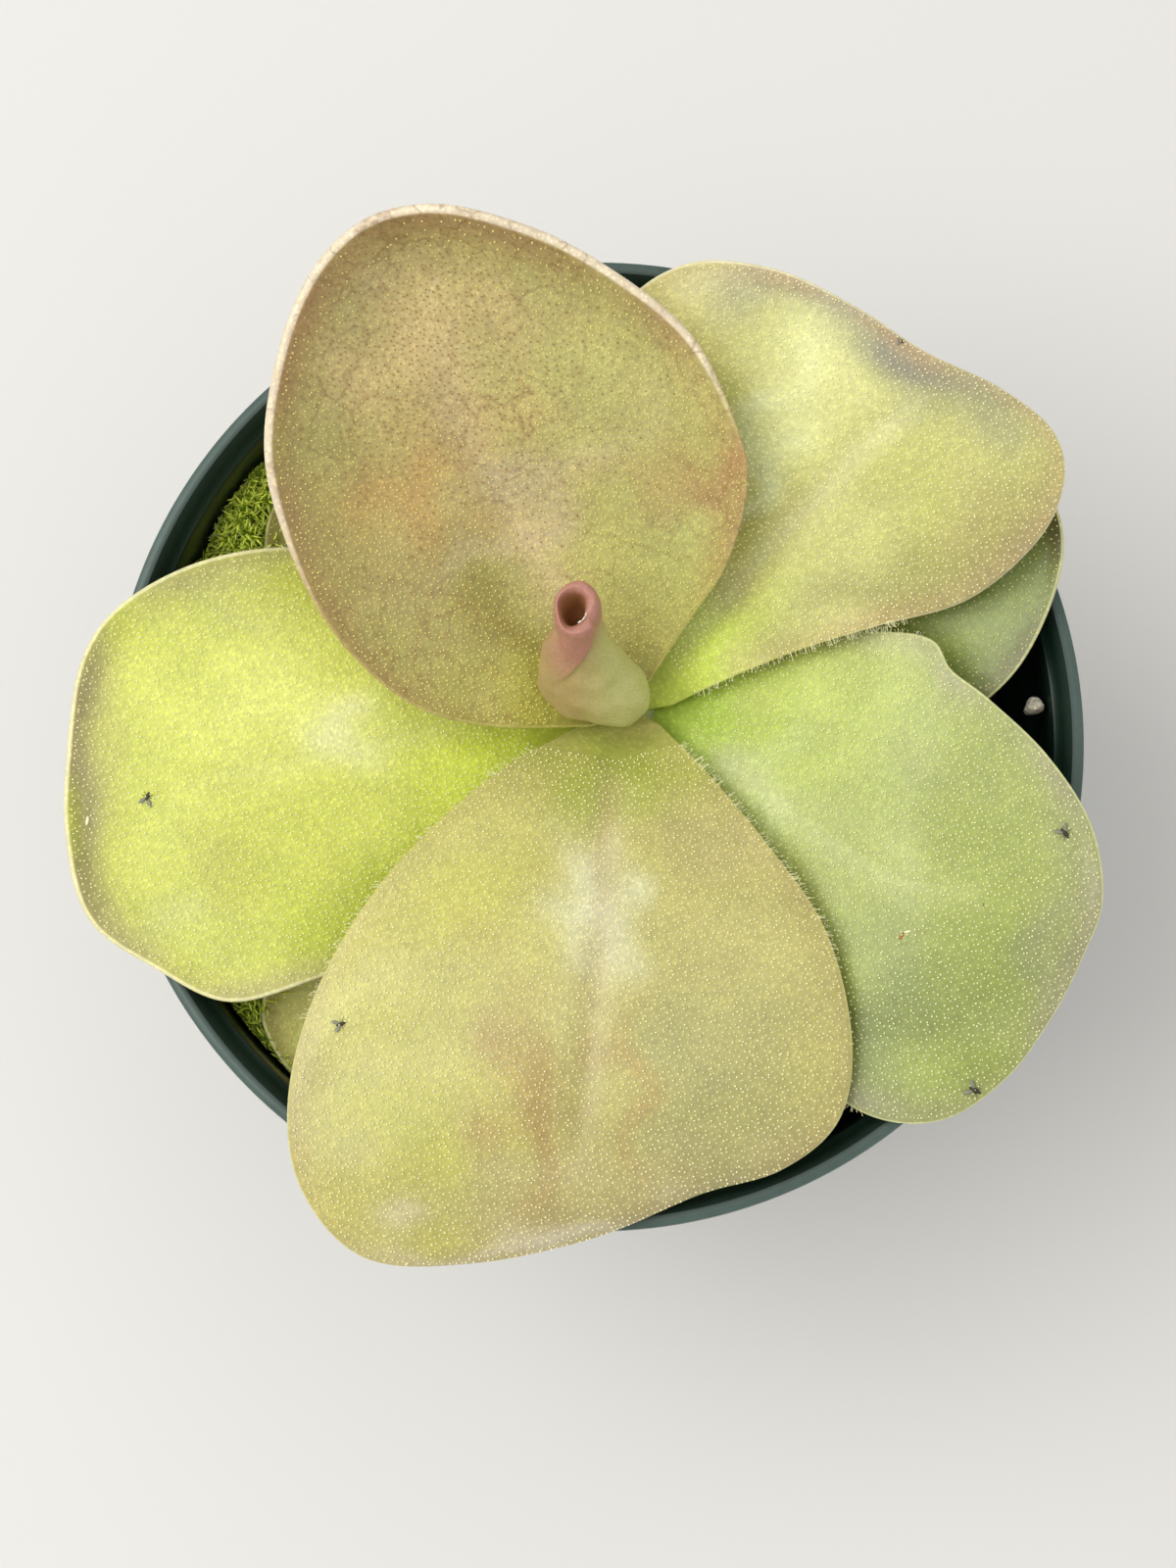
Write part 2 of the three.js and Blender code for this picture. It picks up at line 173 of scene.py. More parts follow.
def strip_quads(rows: int, columns: int, closed: bool = False) -> np.ndarray:
    """The quads of a grid numbered row by row.

    Args:
        rows: how many rows of corners.
        columns: how many corners in each row.
        closed: whether each row joins its own start.

    Returns:
        (n, 4) corner numbers, each quad going along its row first.
    """
    across = columns if closed else columns - 1
    row, column = np.meshgrid(np.arange(rows - 1), np.arange(across), indexing="ij")
    after = (column + 1) % columns
    here, there = row * columns, (row + 1) * columns
    return np.stack([here + column, here + after, there + after, there + column], -1).reshape(-1, 4)


def fan(ring: np.ndarray, centre: int) -> np.ndarray:
    """Triangles from each side of a ring of corners to a centre."""
    return np.stack([ring, np.roll(ring, -1), np.full(len(ring), centre)], -1)


def turned_rings(profile: np.ndarray, sides: int) -> np.ndarray:
    """Rings turned about the z axis: a circle of each of the profile's radii at its height.

    Args:
        profile: (n, 2) radii and heights.
        sides: corners in each ring.

    Returns:
        (n, sides, 3) points.
    """
    angle = np.arange(sides) / sides * TURN
    circle = np.stack([np.cos(angle), np.sin(angle)], -1)
    height = np.broadcast_to(profile[:, None, 1:], (len(profile), sides, 1))
    return np.concatenate([profile[:, None, :1] * circle, height], -1)


def closed_tube(rows: int, columns: int) -> list[np.ndarray]:
    """Faces of a tube of rings that is closed at both ends: the quads between the rings, and a fan from the
    first and from the last ring to its pole. The two poles are numbered after the rings' corners.

    Args:
        rows: how many rings.
        columns: how many corners in each ring.

    Returns:
        The quads, the first pole's triangles and the last pole's triangles.
    """
    first = np.arange(columns)
    last = first + (rows - 1) * columns
    poles = rows * columns
    return [strip_quads(rows, columns, True), fan(first[::-1], poles), fan(last, poles + 1)]


# ---------------------------------------------------------------- meshes


@dataclass
class Surface:
    """Corners and faces that are gathered up before they become one mesh.

    Attributes:
        points: arrays of corners, in millimetres.
        tints: their linear colours.
        faces: arrays of triangles or of quads, each with the number of the finish that they wear.
        count: how many corners there are so far.
    """

    points: list[np.ndarray] = field(default_factory=list)
    tints: list[np.ndarray] = field(default_factory=list)
    faces: list[tuple[np.ndarray, int]] = field(default_factory=list)
    count: int = 0

    def add(self, points: np.ndarray, faces: list[np.ndarray], tint: np.ndarray, finish: int = 0) -> None:
        """Adds corners in millimetres with the faces between them.

        Args:
            points: (n, 3) corners.
            faces: arrays of corner numbers that count from the first of these corners.
            tint: linear colour, one for all or one for each corner.
            finish: which of the piece's finishes the faces wear.
        """
        self.points.append(points)
        self.tints.append(np.broadcast_to(tint, points.shape))
        self.faces += [(group + self.count, finish) for group in faces]
        self.count += len(points)

    def make(self, name: str, finishes: list[bpy.types.Material], crease: float = 180) -> bpy.types.Object:
        """Writes the gathered surface as one object at the origin.

        Args:
            name: the object's name.
            finishes: its materials, in the order of the finish numbers.
            crease: edges bent by more than this many degrees look sharp.

        Returns:
            The object, linked to the scene.
        """
        points = np.vstack(self.points) * MM
        loops = np.concatenate([group.ravel() for group, _ in self.faces])
        sizes = np.concatenate([np.full(len(group), group.shape[1]) for group, _ in self.faces])
        worn = np.concatenate([np.full(len(group), finish) for group, finish in self.faces])
        mesh = bpy.data.meshes.new(name)
        mesh.vertices.add(len(points))
        mesh.vertices.foreach_set("co", points.astype(np.float32).ravel())
        mesh.loops.add(len(loops))
        mesh.loops.foreach_set("vertex_index", loops.astype(np.int32))
        mesh.polygons.add(len(sizes))
        mesh.polygons.foreach_set("loop_start", (np.cumsum(sizes) - sizes).astype(np.int32))
        mesh.polygons.foreach_set("material_index", worn.astype(np.int32))
        mesh.update(calc_edges=True)
        mesh.shade_smooth()
        if crease < 180:
            mesh.set_sharp_from_angle(angle=np.radians(crease))
        tint = mesh.attributes.new("tint", "FLOAT_COLOR", "POINT")
        shades = np.hstack([np.vstack(self.tints), np.ones((len(points), 1))])
        tint.data.foreach_set("color", shades.astype(np.float32).ravel())
        for material in finishes:
            mesh.materials.append(material)
        piece = bpy.data.objects.new(name, mesh)
        bpy.context.scene.collection.objects.link(piece)
        return piece


def place(piece: bpy.types.Object, slot: str, *nodes: str) -> None:
    """Fixes a finished piece to the part's one body, hides the plain nodes that it replaces and logs how many
    faces it has.

    Args:
        piece: the new object.
        slot: the material slot of the record; not used.
        nodes: the plain nodes that it replaces, if any.
    """
    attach(piece, "root")
    if nodes:
        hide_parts(*nodes)
    log.info("%s: %d faces", piece.name, len(piece.data.polygons))


def scatter(surface: Surface, shape: "Shape", at: np.ndarray, up: np.ndarray, sizes: np.ndarray,
            turns: np.ndarray, tint: np.ndarray, finish: int = 0) -> None:
    """Adds one copy of a small shape at each place: each corner goes across the place's up direction by its x
    and y and along it by its z, times the copy's size.

    Args:
        surface: what the copies are added to.
        shape: the small shape.
        at: (n, 3) places in millimetres.
        up: (n, 3) directions of length 1.
        sizes: (n,) or (n, 3) scales.
        turns: (n,) angles about up.
        tint: (n, 3) or (3,) linear colours.
        finish: which finish the copies wear.
    """
    if len(at) == 0:
        return
    first, second = frames_about(up, turns)
    scale = np.broadcast_to(sizes if sizes.ndim == 2 else sizes[:, None], (len(at), 3))
    local = shape.points[None] * scale[:, None]
    x, y, z = (local[..., axis : axis + 1] for axis in range(3))
    corners = at[:, None] + x * first[:, None] + y * second[:, None] + z * up[:, None]
    each = len(shape.points)
    step = (np.arange(len(at)) * each)[:, None, None]
    faces = [(group[None] + step).reshape(-1, group.shape[1]) for group in shape.faces]
    shade = np.repeat(np.broadcast_to(tint, (len(at), 3)), each, 0)
    surface.add(corners.reshape(-1, 3), faces, shade, finish)


@dataclass(frozen=True)
class Shape:
    """A small closed shape that is repeated many times.

    Attributes:
        points: (n, 3) corners.
        faces: arrays of triangles or of quads.
    """

    points: np.ndarray
    faces: tuple[np.ndarray, ...]

    @classmethod
    def turned(cls, profile: list[tuple[float, float]], sides: int) -> "Shape":
        """A shape turned about its z axis: each ring of the profile is a circle of that radius at that
        height, and the first and last entries are single points on the axis.

        Args:
            profile: (radius, height) pairs from the bottom up.
            sides: corners in each ring.

        Returns:
            The closed shape.
        """
        rings = np.array(profile[1:-1])
        body = turned_rings(rings, sides).reshape(-1, 3)
        low, high = [0, 0, profile[0][1]], [0, 0, profile[-1][1]]
        points = np.vstack([body, low, high])
        quads, *caps = closed_tube(len(rings), sides)
        return cls(points, (np.vstack(caps), quads) if len(rings) > 1 else (np.vstack(caps),))


DROPLET = Shape.turned([(0, -0.06), (0.04, 0.05), (0.08, 0.12), (0, 0.2)], 4)
HAIR = Shape.turned([(0, -0.05), (0.03, 0.1), (0.018, 0.75), (0.045, 0.9), (0, 1.0)], 3)
NEEDLE = Shape.turned([(0, 0), (0.5, 0.35), (0, 1)], 3)
STEM = Shape.turned([(0, 0), (0.09, 0.05), (0.06, 1), (0, 1.02)], 4)
CRUMB = Shape.turned([(0, -0.9), (0.72, -0.55), (1.0, 0.1), (0.62, 0.7), (0, 0.85)], 6)


# ---------------------------------------------------------------- finishes


@dataclass(frozen=True)
class Finish:
    """A procedural finish: the surface's own tint, mottled by noise, with fine relief.

    Attributes:
        name: the material's name.
        roughness: how dull the surface is.
        mottle: share by which the tint gets darker and lighter.
        mottle_size: size of the mottling in millimetres.
        grain: how strongly fine dark grain shows.
        grain_size: size of the grain in millimetres.
        relief: depth of the fine relief in millimetres.
        relief_size: size of the relief's bumps in millimetres.
        inner_light: share of light that goes into the surface and comes out again.
        inner_depth: how far it goes, in millimetres.
        film: weight of a clear glossy film over the surface.
        film_roughness: how dull that film is.
        specular: strength of the surface's own reflection.
        gland_glints: how much lighter the fine stalkless glands are than the rest: partly their own paler
            colour, partly painted glints of light on them.
        dot_size: distance between those glands in millimetres.
        veins: colour of wandering fine veins, or none.
        vein_size: distance between the veins in millimetres.
        vein_strength: how strongly the veins show.
    """

    name: str
    roughness: float = 0.5
    mottle: float = 0.1
    mottle_size: float = 4.0
    grain: float = 0.0
    grain_size: float = 0.4
    relief: float = 0.03
    relief_size: float = 0.4
    inner_light: float = 0.0
    inner_depth: float = 0.6
    film: float = 0.0
    film_roughness: float = 0.1
    specular: float = 0.5
    gland_glints: float = 0.0
    dot_size: float = 0.42
    veins: str = ""
    vein_size: float = 4.0
    vein_strength: float = 0.3

    def material(self) -> bpy.types.Material:
        """Builds the node tree: tint, times mottling, times grain, with veins mixed in and glands over them,
        partly painted as glints of light, under fine relief.

        Returns:
            The material.
        """
        made = bpy.data.materials.new(self.name)
        made.use_nodes = True
        tree = made.node_tree
        shader = tree.nodes["Principled BSDF"]
        place_on = tree.nodes.new("ShaderNodeTexCoord").outputs["Object"]
        tint = tree.nodes.new("ShaderNodeAttribute")
        tint.attribute_name = "tint"
        colour = self._dimmed(tree, tint.outputs["Color"], place_on, self.mottle_size, self.mottle)
        if self.grain:
            colour = self._dimmed(tree, colour, place_on, self.grain_size, self.grain)
        if self.veins:
            colour = self._veined(tree, colour, place_on)
        if self.gland_glints:
            colour = self._dotted(tree, colour, place_on)
        tree.links.new(colour, shader.inputs["Base Color"])
        bumps = self._noise(tree, place_on, self.relief_size, 3)
        bump = tree.nodes.new("ShaderNodeBump")
        bump.inputs["Strength"].default_value = 1.0
        bump.inputs["Distance"].default_value = self.relief * MM
        tree.links.new(bumps, bump.inputs["Height"])
        tree.links.new(bump.outputs["Normal"], shader.inputs["Normal"])
        shader.inputs["Roughness"].default_value = self.roughness
        shader.inputs["Specular IOR Level"].default_value = self.specular
        shader.inputs["Coat Weight"].default_value = self.film
        shader.inputs["Coat Roughness"].default_value = self.film_roughness
        shader.inputs["Subsurface Weight"].default_value = self.inner_light
        shader.inputs["Subsurface Radius"].default_value = (1.0, 0.85, 0.25)
        shader.inputs["Subsurface Scale"].default_value = self.inner_depth * MM
        return made

    def _noise(self, tree: bpy.types.NodeTree, where: bpy.types.NodeSocket, size: float,
               detail: float) -> bpy.types.NodeSocket:
        """Noise of a size in millimetres.

        Args:
            tree: the tree that it is added to.
            where: the coordinates that it reads.
            size: length of its largest features.
            detail: how many finer layers are added.

        Returns:
            The socket with its value.
        """
        noise = tree.nodes.new("ShaderNodeTexNoise")
        noise.inputs["Scale"].default_value = 1 / (size * MM)
        noise.inputs["Detail"].default_value = detail
        tree.links.new(where, noise.inputs["Vector"])
        return noise.outputs["Fac"]

    def _between(self, tree: bpy.types.NodeTree, value: bpy.types.NodeSocket, source: tuple[float, float],
                 target: tuple[float, float]) -> bpy.types.NodeSocket:
        """Maps a range of a value onto another range, held level outside it.

        Args:
            tree: the tree that the node is added to.
            value: the socket of the value.
            source: ends of the range that is read.
            target: ends of the range that it becomes.

        Returns:
            The socket of the new value.
        """
        spread = tree.nodes.new("ShaderNodeMapRange")
        for name, number in zip(("From Min", "From Max", "To Min", "To Max"), source + target):
            spread.inputs[name].default_value = number
        tree.links.new(value, spread.inputs["Value"])
        return spread.outputs["Result"]

    def _times(self, tree: bpy.types.NodeTree, colour: bpy.types.NodeSocket,
               factor: bpy.types.NodeSocket) -> bpy.types.NodeSocket:
        """Multiplies a colour by a factor.

        Args:
            tree: the tree that the node is added to.
            colour: the socket of the colour.
            factor: the socket of the factor.

        Returns:
            The socket of the new colour.
        """
        times = tree.nodes.new("ShaderNodeVectorMath")
        times.operation = "SCALE"
        tree.links.new(colour, times.inputs[0])
        tree.links.new(factor, times.inputs["Scale"])
        return times.outputs["Vector"]

    def _dimmed(self, tree: bpy.types.NodeTree, colour: bpy.types.NodeSocket, where: bpy.types.NodeSocket,
                size: float, share: float) -> bpy.types.NodeSocket:
        """Multiplies a colour by noise between 1 - share and 1 + share.

        Args:
            tree: the tree that the nodes are added to.
            colour: the socket of the colour.
            where: the coordinates that the noise reads.
            size: size of the noise in millimetres.
            share: how far the colour is dimmed and raised.

        Returns:
            The socket of the new colour.
        """
        noise = self._noise(tree, where, size, 2)
        factor = self._between(tree, noise, (0.3, 0.7), (1 - share, 1 + share))
        return self._times(tree, colour, factor)

    def _dotted(self, tree: bpy.types.NodeTree, colour: bpy.types.NodeSocket,
                where: bpy.types.NodeSocket) -> bpy.types.NodeSocket:
        """Lightens a colour at the middles of small cells and darkens it a little between them: the glands,
        partly their own paler colour and partly painted glints.

        Args:
            tree: the tree that the nodes are added to.
            colour: the socket of the colour.
            where: the coordinates that the cells read.

        Returns:
            The socket of the new colour.
        """
        cells = tree.nodes.new("ShaderNodeTexVoronoi")
        cells.inputs["Scale"].default_value = 1 / (self.dot_size * MM)
        tree.links.new(where, cells.inputs["Vector"])
        # Painted glints: the cell middles are lightened as if each gland caught the light.
        target = (1 + self.gland_glints, 1 - 0.3 * self.gland_glints)
        factor = self._between(tree, cells.outputs["Distance"], (0.15, 0.45), target)
        return self._times(tree, colour, factor)

    def _veined(self, tree: bpy.types.NodeTree, colour: bpy.types.NodeSocket,
                where: bpy.types.NodeSocket) -> bpy.types.NodeSocket:
        """Mixes the vein colour in along the thin walls between cells whose outlines are bent by noise,
        more strongly in some places than in others.

        Args:
            tree: the tree that the nodes are added to.
            colour: the socket of the colour.
            where: the coordinates that the cells read.

        Returns:
            The socket of the new colour.
        """
        bend = tree.nodes.new("ShaderNodeTexNoise")
        bend.inputs["Scale"].default_value = 1 / (0.7 * self.vein_size * MM)
        tree.links.new(where, bend.inputs["Vector"])
        shift = tree.nodes.new("ShaderNodeVectorMath")
        shift.operation = "MULTIPLY_ADD"
        shift.inputs[1].default_value = (1.1 * self.vein_size * MM,) * 3
        tree.links.new(bend.outputs["Color"], shift.inputs[0])
        tree.links.new(where, shift.inputs[2])
        cells = tree.nodes.new("ShaderNodeTexVoronoi")
        cells.feature = "DISTANCE_TO_EDGE"
        cells.inputs["Scale"].default_value = 1 / (self.vein_size * MM)
        tree.links.new(shift.outputs["Vector"], cells.inputs["Vector"])
        wall = self._between(tree, cells.outputs["Distance"], (0.0, 0.06), (1.0, 0.0))
        patchy = self._between(tree, self._noise(tree, where, 3 * self.vein_size, 1), (0.4, 0.65),
                               (0.3 * self.vein_strength, self.vein_strength))
        line = tree.nodes.new("ShaderNodeMath")
        line.operation = "MULTIPLY"
        tree.links.new(wall, line.inputs[0])
        tree.links.new(patchy, line.inputs[1])
        mix = tree.nodes.new("ShaderNodeMix")
        mix.data_type = "RGBA"
        tree.links.new(line.outputs["Value"], mix.inputs["Factor"])
        tree.links.new(colour, mix.inputs["A"])
        mix.inputs["B"].default_value = (*linear(self.veins), 1)
        return mix.outputs["Result"]


@dataclass(frozen=True)
class DropFinish:
    """One plain colour, the same all over, for the sticky drops and for small things caught in them.

    Attributes:
        name: the material's name.
        colour: written colour.
        roughness: how dull it is.
        painted_glow: strength of a painted glow, a share of the colour given out as light so that it looks
            brighter than the lamps make it.
    """

    name: str
    colour: str
    roughness: float = 0.12
    painted_glow: float = 0.0

    def material(self) -> bpy.types.Material:
        """Builds the material: the colour as it is, with a share of it given out again as a painted glow.

        Returns:
            The material.
        """
        made = bpy.data.materials.new(self.name)
        made.use_nodes = True
        shader = made.node_tree.nodes["Principled BSDF"]
        shader.inputs["Base Color"].default_value = (*linear(self.colour), 1)
        # Painted glow: the surface gives out light of its own colour, though it is no lamp.
        shader.inputs["Emission Color"].default_value = (*linear(self.colour), 1)
        shader.inputs["Emission Strength"].default_value = self.painted_glow
        shader.inputs["Roughness"].default_value = self.roughness
        shader.inputs["IOR"].default_value = 1.36
        return made


class Dew(Enum):
    """The colours that a gland and its drop can have."""

    # Each drop colour carries a painted glow that stands for the bright glints on the drops.
    CLEAR = DropFinish("clear_dew", "f3f0c0", painted_glow=0.2)
    GOLD = DropFinish("golden_dew", "e6de90", painted_glow=0.16)
    BROWN = DropFinish("brown_gland", "a47f52", 0.25, 0.12)


class Husk(Enum):
    """What small things caught on a leaf are made of."""

    GNAT = DropFinish("gnat_husk", "3f3a2c", 0.5)
    WING = DropFinish("gnat_wing", "8d8f7c", 0.3)
    # The pale scar also carries a small painted glow.
    SCAR = DropFinish("pale_scar", "f3efc9", 0.4, 0.1)
    RUST = DropFinish("rusty_fleck", "b9733a", 0.5)


LEAF_FLESH = Finish(
    "leaf_flesh", roughness=0.42, mottle=0.07, mottle_size=5, grain=0.08, grain_size=0.6,
    relief=0.09, relief_size=0.8, inner_light=0.35, inner_depth=0.8, film=0.2, film_roughness=0.3,
    gland_glints=0.16,
)
VEINED_FLESH = Finish(
    "veined_leaf_flesh", roughness=0.42, mottle=0.09, mottle_size=6, grain=0.1, grain_size=0.6,
    relief=0.08, relief_size=0.6, inner_light=0.3, inner_depth=0.8, film=0.15, film_roughness=0.3,
    gland_glints=0.2, dot_size=0.36, veins="8a5f3a", vein_size=3.6, vein_strength=0.42,
)
YOUNG_FLESH = Finish(
    "young_leaf_flesh", roughness=0.5, mottle=0.05, mottle_size=3, grain=0.1, grain_size=0.22,
    relief=0.02, relief_size=0.3, inner_light=0.4, inner_depth=0.7, film=0.1, film_roughness=0.35,
)
CROWN_FLESH = Finish("crown_flesh", roughness=0.5, mottle=0.15, relief=0.08, inner_light=0.3)
POT_PLASTIC = Finish(
    "green_pot_plastic", roughness=0.36, mottle=0.12, mottle_size=14, grain=0.06, grain_size=0.8,
    relief=0.012, relief_size=1.2, specular=0.4,
)
MIX_EARTH = Finish(
    "potting_mix", roughness=0.9, mottle=0.3, mottle_size=3, grain=0.3, grain_size=0.7,
    relief=0.5, relief_size=1.0, specular=0.25,
)
MOSS_LEAF = Finish(
    "moss_leaf", roughness=0.55, mottle=0.15, mottle_size=2, inner_light=0.2, inner_depth=0.3,
)
PERLITE = Finish(
    "perlite", roughness=0.85, mottle=0.12, mottle_size=0.8, grain=0.12, grain_size=0.25,
    relief=0.15, relief_size=0.35, inner_light=0.2,
)


# ---------------------------------------------------------------- leaves


@dataclass(frozen=True)
class Wash:
    """A soft patch of colour on a leaf, strongest at its middle: mostly the leaf's own colour, but some
    washes are painted sheen or painted light.

    Attributes:
        colour: written colour.
        at: its middle in plan, in millimetres.
        reach: its half-lengths along and across.
        turn: the long direction in degrees from +X.
        strength: how much it covers at its middle.
    """

    colour: str
    at: tuple[float, float]
    reach: tuple[float, float]
    turn: float = 0.0
    strength: float = 0.8

    def cover(self, points: np.ndarray) -> np.ndarray:
        """How much it covers each place: strength times the bell curve of the place's distance in reaches.

        Args:
            points: (..., 3) places in millimetres.

        Returns:
            Shares from 0 to 1.
        """
        away = points[..., :2] - np.array(self.at)
        c, s = np.cos(np.radians(self.turn)), np.sin(np.radians(self.turn))
        along = (away[..., 0] * c + away[..., 1] * s) / self.reach[0]
        beside = (away[..., 1] * c - away[..., 0] * s) / self.reach[1]
        return self.strength * np.exp(-(along**2) - beside**2)


@dataclass(frozen=True)
class Caught:
    """A small thing stuck to a leaf.

    Attributes:
        husk: what it is made of; a gnat also gets wings and legs.
        at: its place in plan, in millimetres.
        size: its half-length.
        turn: its long direction in degrees from +X.
    """

    husk: Husk
    at: tuple[float, float]
    size: float = 0.6
    turn: float = 0.0


@dataclass
class Leaf:
    """One leaf: a fleshy blade between a margin curve and a spine curve, and the drops that stand on it.

    Attributes:
        name: the node that it replaces.
        slot: its material slot in the record.
        margin: points from the base's left corner round the tip, the middle point, to the right corner.
        spine: points from the base to a place inside the tip.
        ground: the blade's main colour.
        underside: the colour that the lower surface is paled with.
        washes: patches of other colours, laid over each other in this order.
        lip: share of the blade's rise that comes in the last stretch before the margin.
        thickness: at the midrib.
        edge: full thickness of the rounded margin.
        thin_edge: its thickness near the base.
        edge_from: how far along the leaf the left and the right margin reach full thickness and colour.
        edge_colour: colour of the margin's round there.
        border: colour of a band just inside the margin.
        border_width: width of that band.
        border_strength: how much it covers.
        midrib: colour of the band along the spine.
        midrib_width: half-width of that band.
        midrib_strength: how much it covers.
        fineness: rows of the blade's grid; its columns follow from it.
        spacing: distance between drops.
        dew: the usual colour of the drops.
        other_dew: a second colour, which takes over where the washes in other_at are.
        other_at: where the second colour shows.
        veined: whether veins show.
        caught: small things stuck to the leaf.
        seed: starts this leaf's own unevenness.
        edge_steps: steps of the half circle round the margin.
        tries: how many random places the drops are chosen from.
        hairs: how many fine hairs stand along the margin near the base.
    """

    name: str
    slot: str
    margin: tuple[Point, ...]
    spine: tuple[Point, ...]
    ground: str
    washes: tuple[Wash, ...] = ()
    lip: float = 0.25
    thickness: float = 1.1
    edge: float = 0.42
    thin_edge: float = 0.3
    edge_from: tuple[float, float] = (0.45, 0.45)
    edge_colour: str = "e6e4b8"
    border: str = "b09a6e"
    border_width: float = 1.2
    border_strength: float = 0.4
    midrib: str = "d8cf9a"
    midrib_width: float = 1.3
    midrib_strength: float = 0.3
    fineness: int = 84
    spacing: float = 0.46
    dew: Dew = Dew.CLEAR
    other_dew: Dew = Dew.CLEAR
    other_at: tuple[Wash, ...] = ()
    veined: bool = False
    caught: tuple[Caught, ...] = ()
    underside: str = "c9c98a"
    seed: int = 1
    edge_steps: int = 6
    tries: int = 160_000
    hairs: int = 260

    def __post_init__(self) -> None:
        """Turns the written points into arrays."""
        self._margin = np.array(self.margin, float)
        self._spine = np.array(self.spine, float)

    def _grown_edge(self, along: np.ndarray, across: np.ndarray) -> np.ndarray:
        """How far the margin has come to its full thickness and colour: a smooth step along its side.

        Args:
            along: place from the base to the tip.
            across: place from the left margin to the right margin.

        Returns:
            Shares from 0 to 1.
        """
        full = np.where(across < 0, self.edge_from[0], self.edge_from[1])
        return smooth_step(-0.18, 0.0, along - full)

    def _edge_size(self, along: np.ndarray, across: np.ndarray) -> np.ndarray:
        """Thickness of the margin in millimetres, for places along and across the leaf."""
        return self.thin_edge + (self.edge - self.thin_edge) * self._grown_edge(along, across)

    def _lines(self, along: np.ndarray, across: np.ndarray) -> tuple[np.ndarray, np.ndarray, np.ndarray]:
        """The two ends of the straight line that crosses half the leaf at each place. The spine's points come
        closer together towards the tip, by a power of 1.5.

        Args:
            along: place from the base, 0, to the tip, 1.
            across: place from the left margin, -1, over the spine, 0, to the right margin, 1.

        Returns:
            The spine's points, the margin's points on the same side and the distances between them.
        """
        share = np.clip(along, 0, 1)
        middle = curve_at(self._spine, 1 - (1 - share) ** 1.5)
        edge = curve_at(self._margin, np.where(across < 0, share / 2, 1 - share / 2))
        return middle, edge, np.linalg.norm(edge - middle, axis=-1)

    def top(self, along: np.ndarray, across: np.ndarray) -> np.ndarray:
        """The upper surface. The margin point and the spine point at this place along the leaf are joined by
        a straight line in plan. The height leaves the spine level and rises with the square of the way out,
        a share of it, the lip, with its eighth power. A shallow channel follows the midrib, and long low
        waves cross the blade. Below 0 the leaf narrows and sinks into the crown.

        Args:
            along: place from the base, 0, to the tip, 1; below 0 is inside the crown.
            across: place from the left margin, -1, over the spine, 0, to the right margin, 1.

        Returns:
            Points in millimetres.
        """
        share = np.clip(along, 0, 1)
        middle, edge, width = self._lines(along, across)
        out = np.abs(across)
        size = self._edge_size(along, across)
        inside = out * (1 - size / 2 / np.maximum(width, size))
        rise = (1 - self.lip) * inside**2 + self.lip * inside**8
        point = middle + (edge - middle) * inside[..., None]
        point[..., 2] = middle[..., 2] + (edge[..., 2] - middle[..., 2]) * rise
        grown = smooth_step(0, 0.25, share) * smooth_step(0, 0.15, 1 - out)
        channel = 0.35 * np.exp(-((out * width / 1.1) ** 2))
        channel = channel * smooth_step(0, 0.1, share) * smooth_step(0, 0.4, 1 - share)
        point[..., 2] += 0.16 * grown * ripple(point, 16, self.seed) - channel
        sunk = np.clip(-along, 0, None)[..., None]
        point[..., :2] += (np.array(CROWN_AT) - point[..., :2]) * np.minimum(sunk, 0.9)
        point[..., 2:] -= 3.2 * sunk**1.5
        return point

    def normal(self, along: np.ndarray, across: np.ndarray) -> np.ndarray:
        """The upper surface's outward direction: across its rate of change along and across the leaf.

        Args:
            along: place from the base to the tip.
            across: place from the left margin to the right margin.

        Returns:
            Directions of length 1 that point up.
        """
        small = 2e-3
        side = np.where(across < 0, -1.0, 1.0)
        inner = np.clip(np.abs(across), small, 1 - small) * side
        ahead = np.minimum(along + small, 1)
        back = ahead - 2 * small
        forward = self.top(ahead, inner) - self.top(back, inner)
        sideways = self.top(along, inner + small * side) - self.top(along, inner - small * side)
        up = unit(np.cross(sideways * side[..., None], forward))
        return up * np.where(up[..., 2:] < 0, -1.0, 1.0)

    def _tint(self, points: np.ndarray, along: np.ndarray, across: np.ndarray) -> np.ndarray:
        """Colour of the blade: the ground, then each wash, then the midrib band and the border band.

        Args:
            points: places on the upper surface.
            along: their places along the leaf.
            across: their places across it.

        Returns:
            Linear colours.
        """
        colour = np.broadcast_to(linear(self.ground), points.shape)
        wander = points + 1.6 * np.stack([ripple(points, 9, self.seed + k) for k in (11, 12, 13)], -1)
        for wash in self.washes:
            colour = mixed(colour, linear(wash.colour), wash.cover(wander)[..., None])
        share = np.clip(along, 0, 1)
        width = self._lines(along, across)[2]
        from_spine = np.abs(across) * width
        band = np.exp(-((from_spine / self.midrib_width) ** 2)) * smooth_step(0.0, 0.2, share)
        cover = (self.midrib_strength * (band * (1 - share**2)))[..., None]
        colour = mixed(colour, linear(self.midrib), cover)
        from_edge = (1 - np.abs(across)) * width
        uneven = 1 + 0.5 * ripple(points, 14, self.seed + 30)
        near = np.exp(-((from_edge / self.border_width) ** 2)) * smooth_step(0.1, 0.35, share)
        cover = np.clip(self.border_strength * near * uneven, 0, 1)[..., None]
        return mixed(colour, linear(self.border), cover)

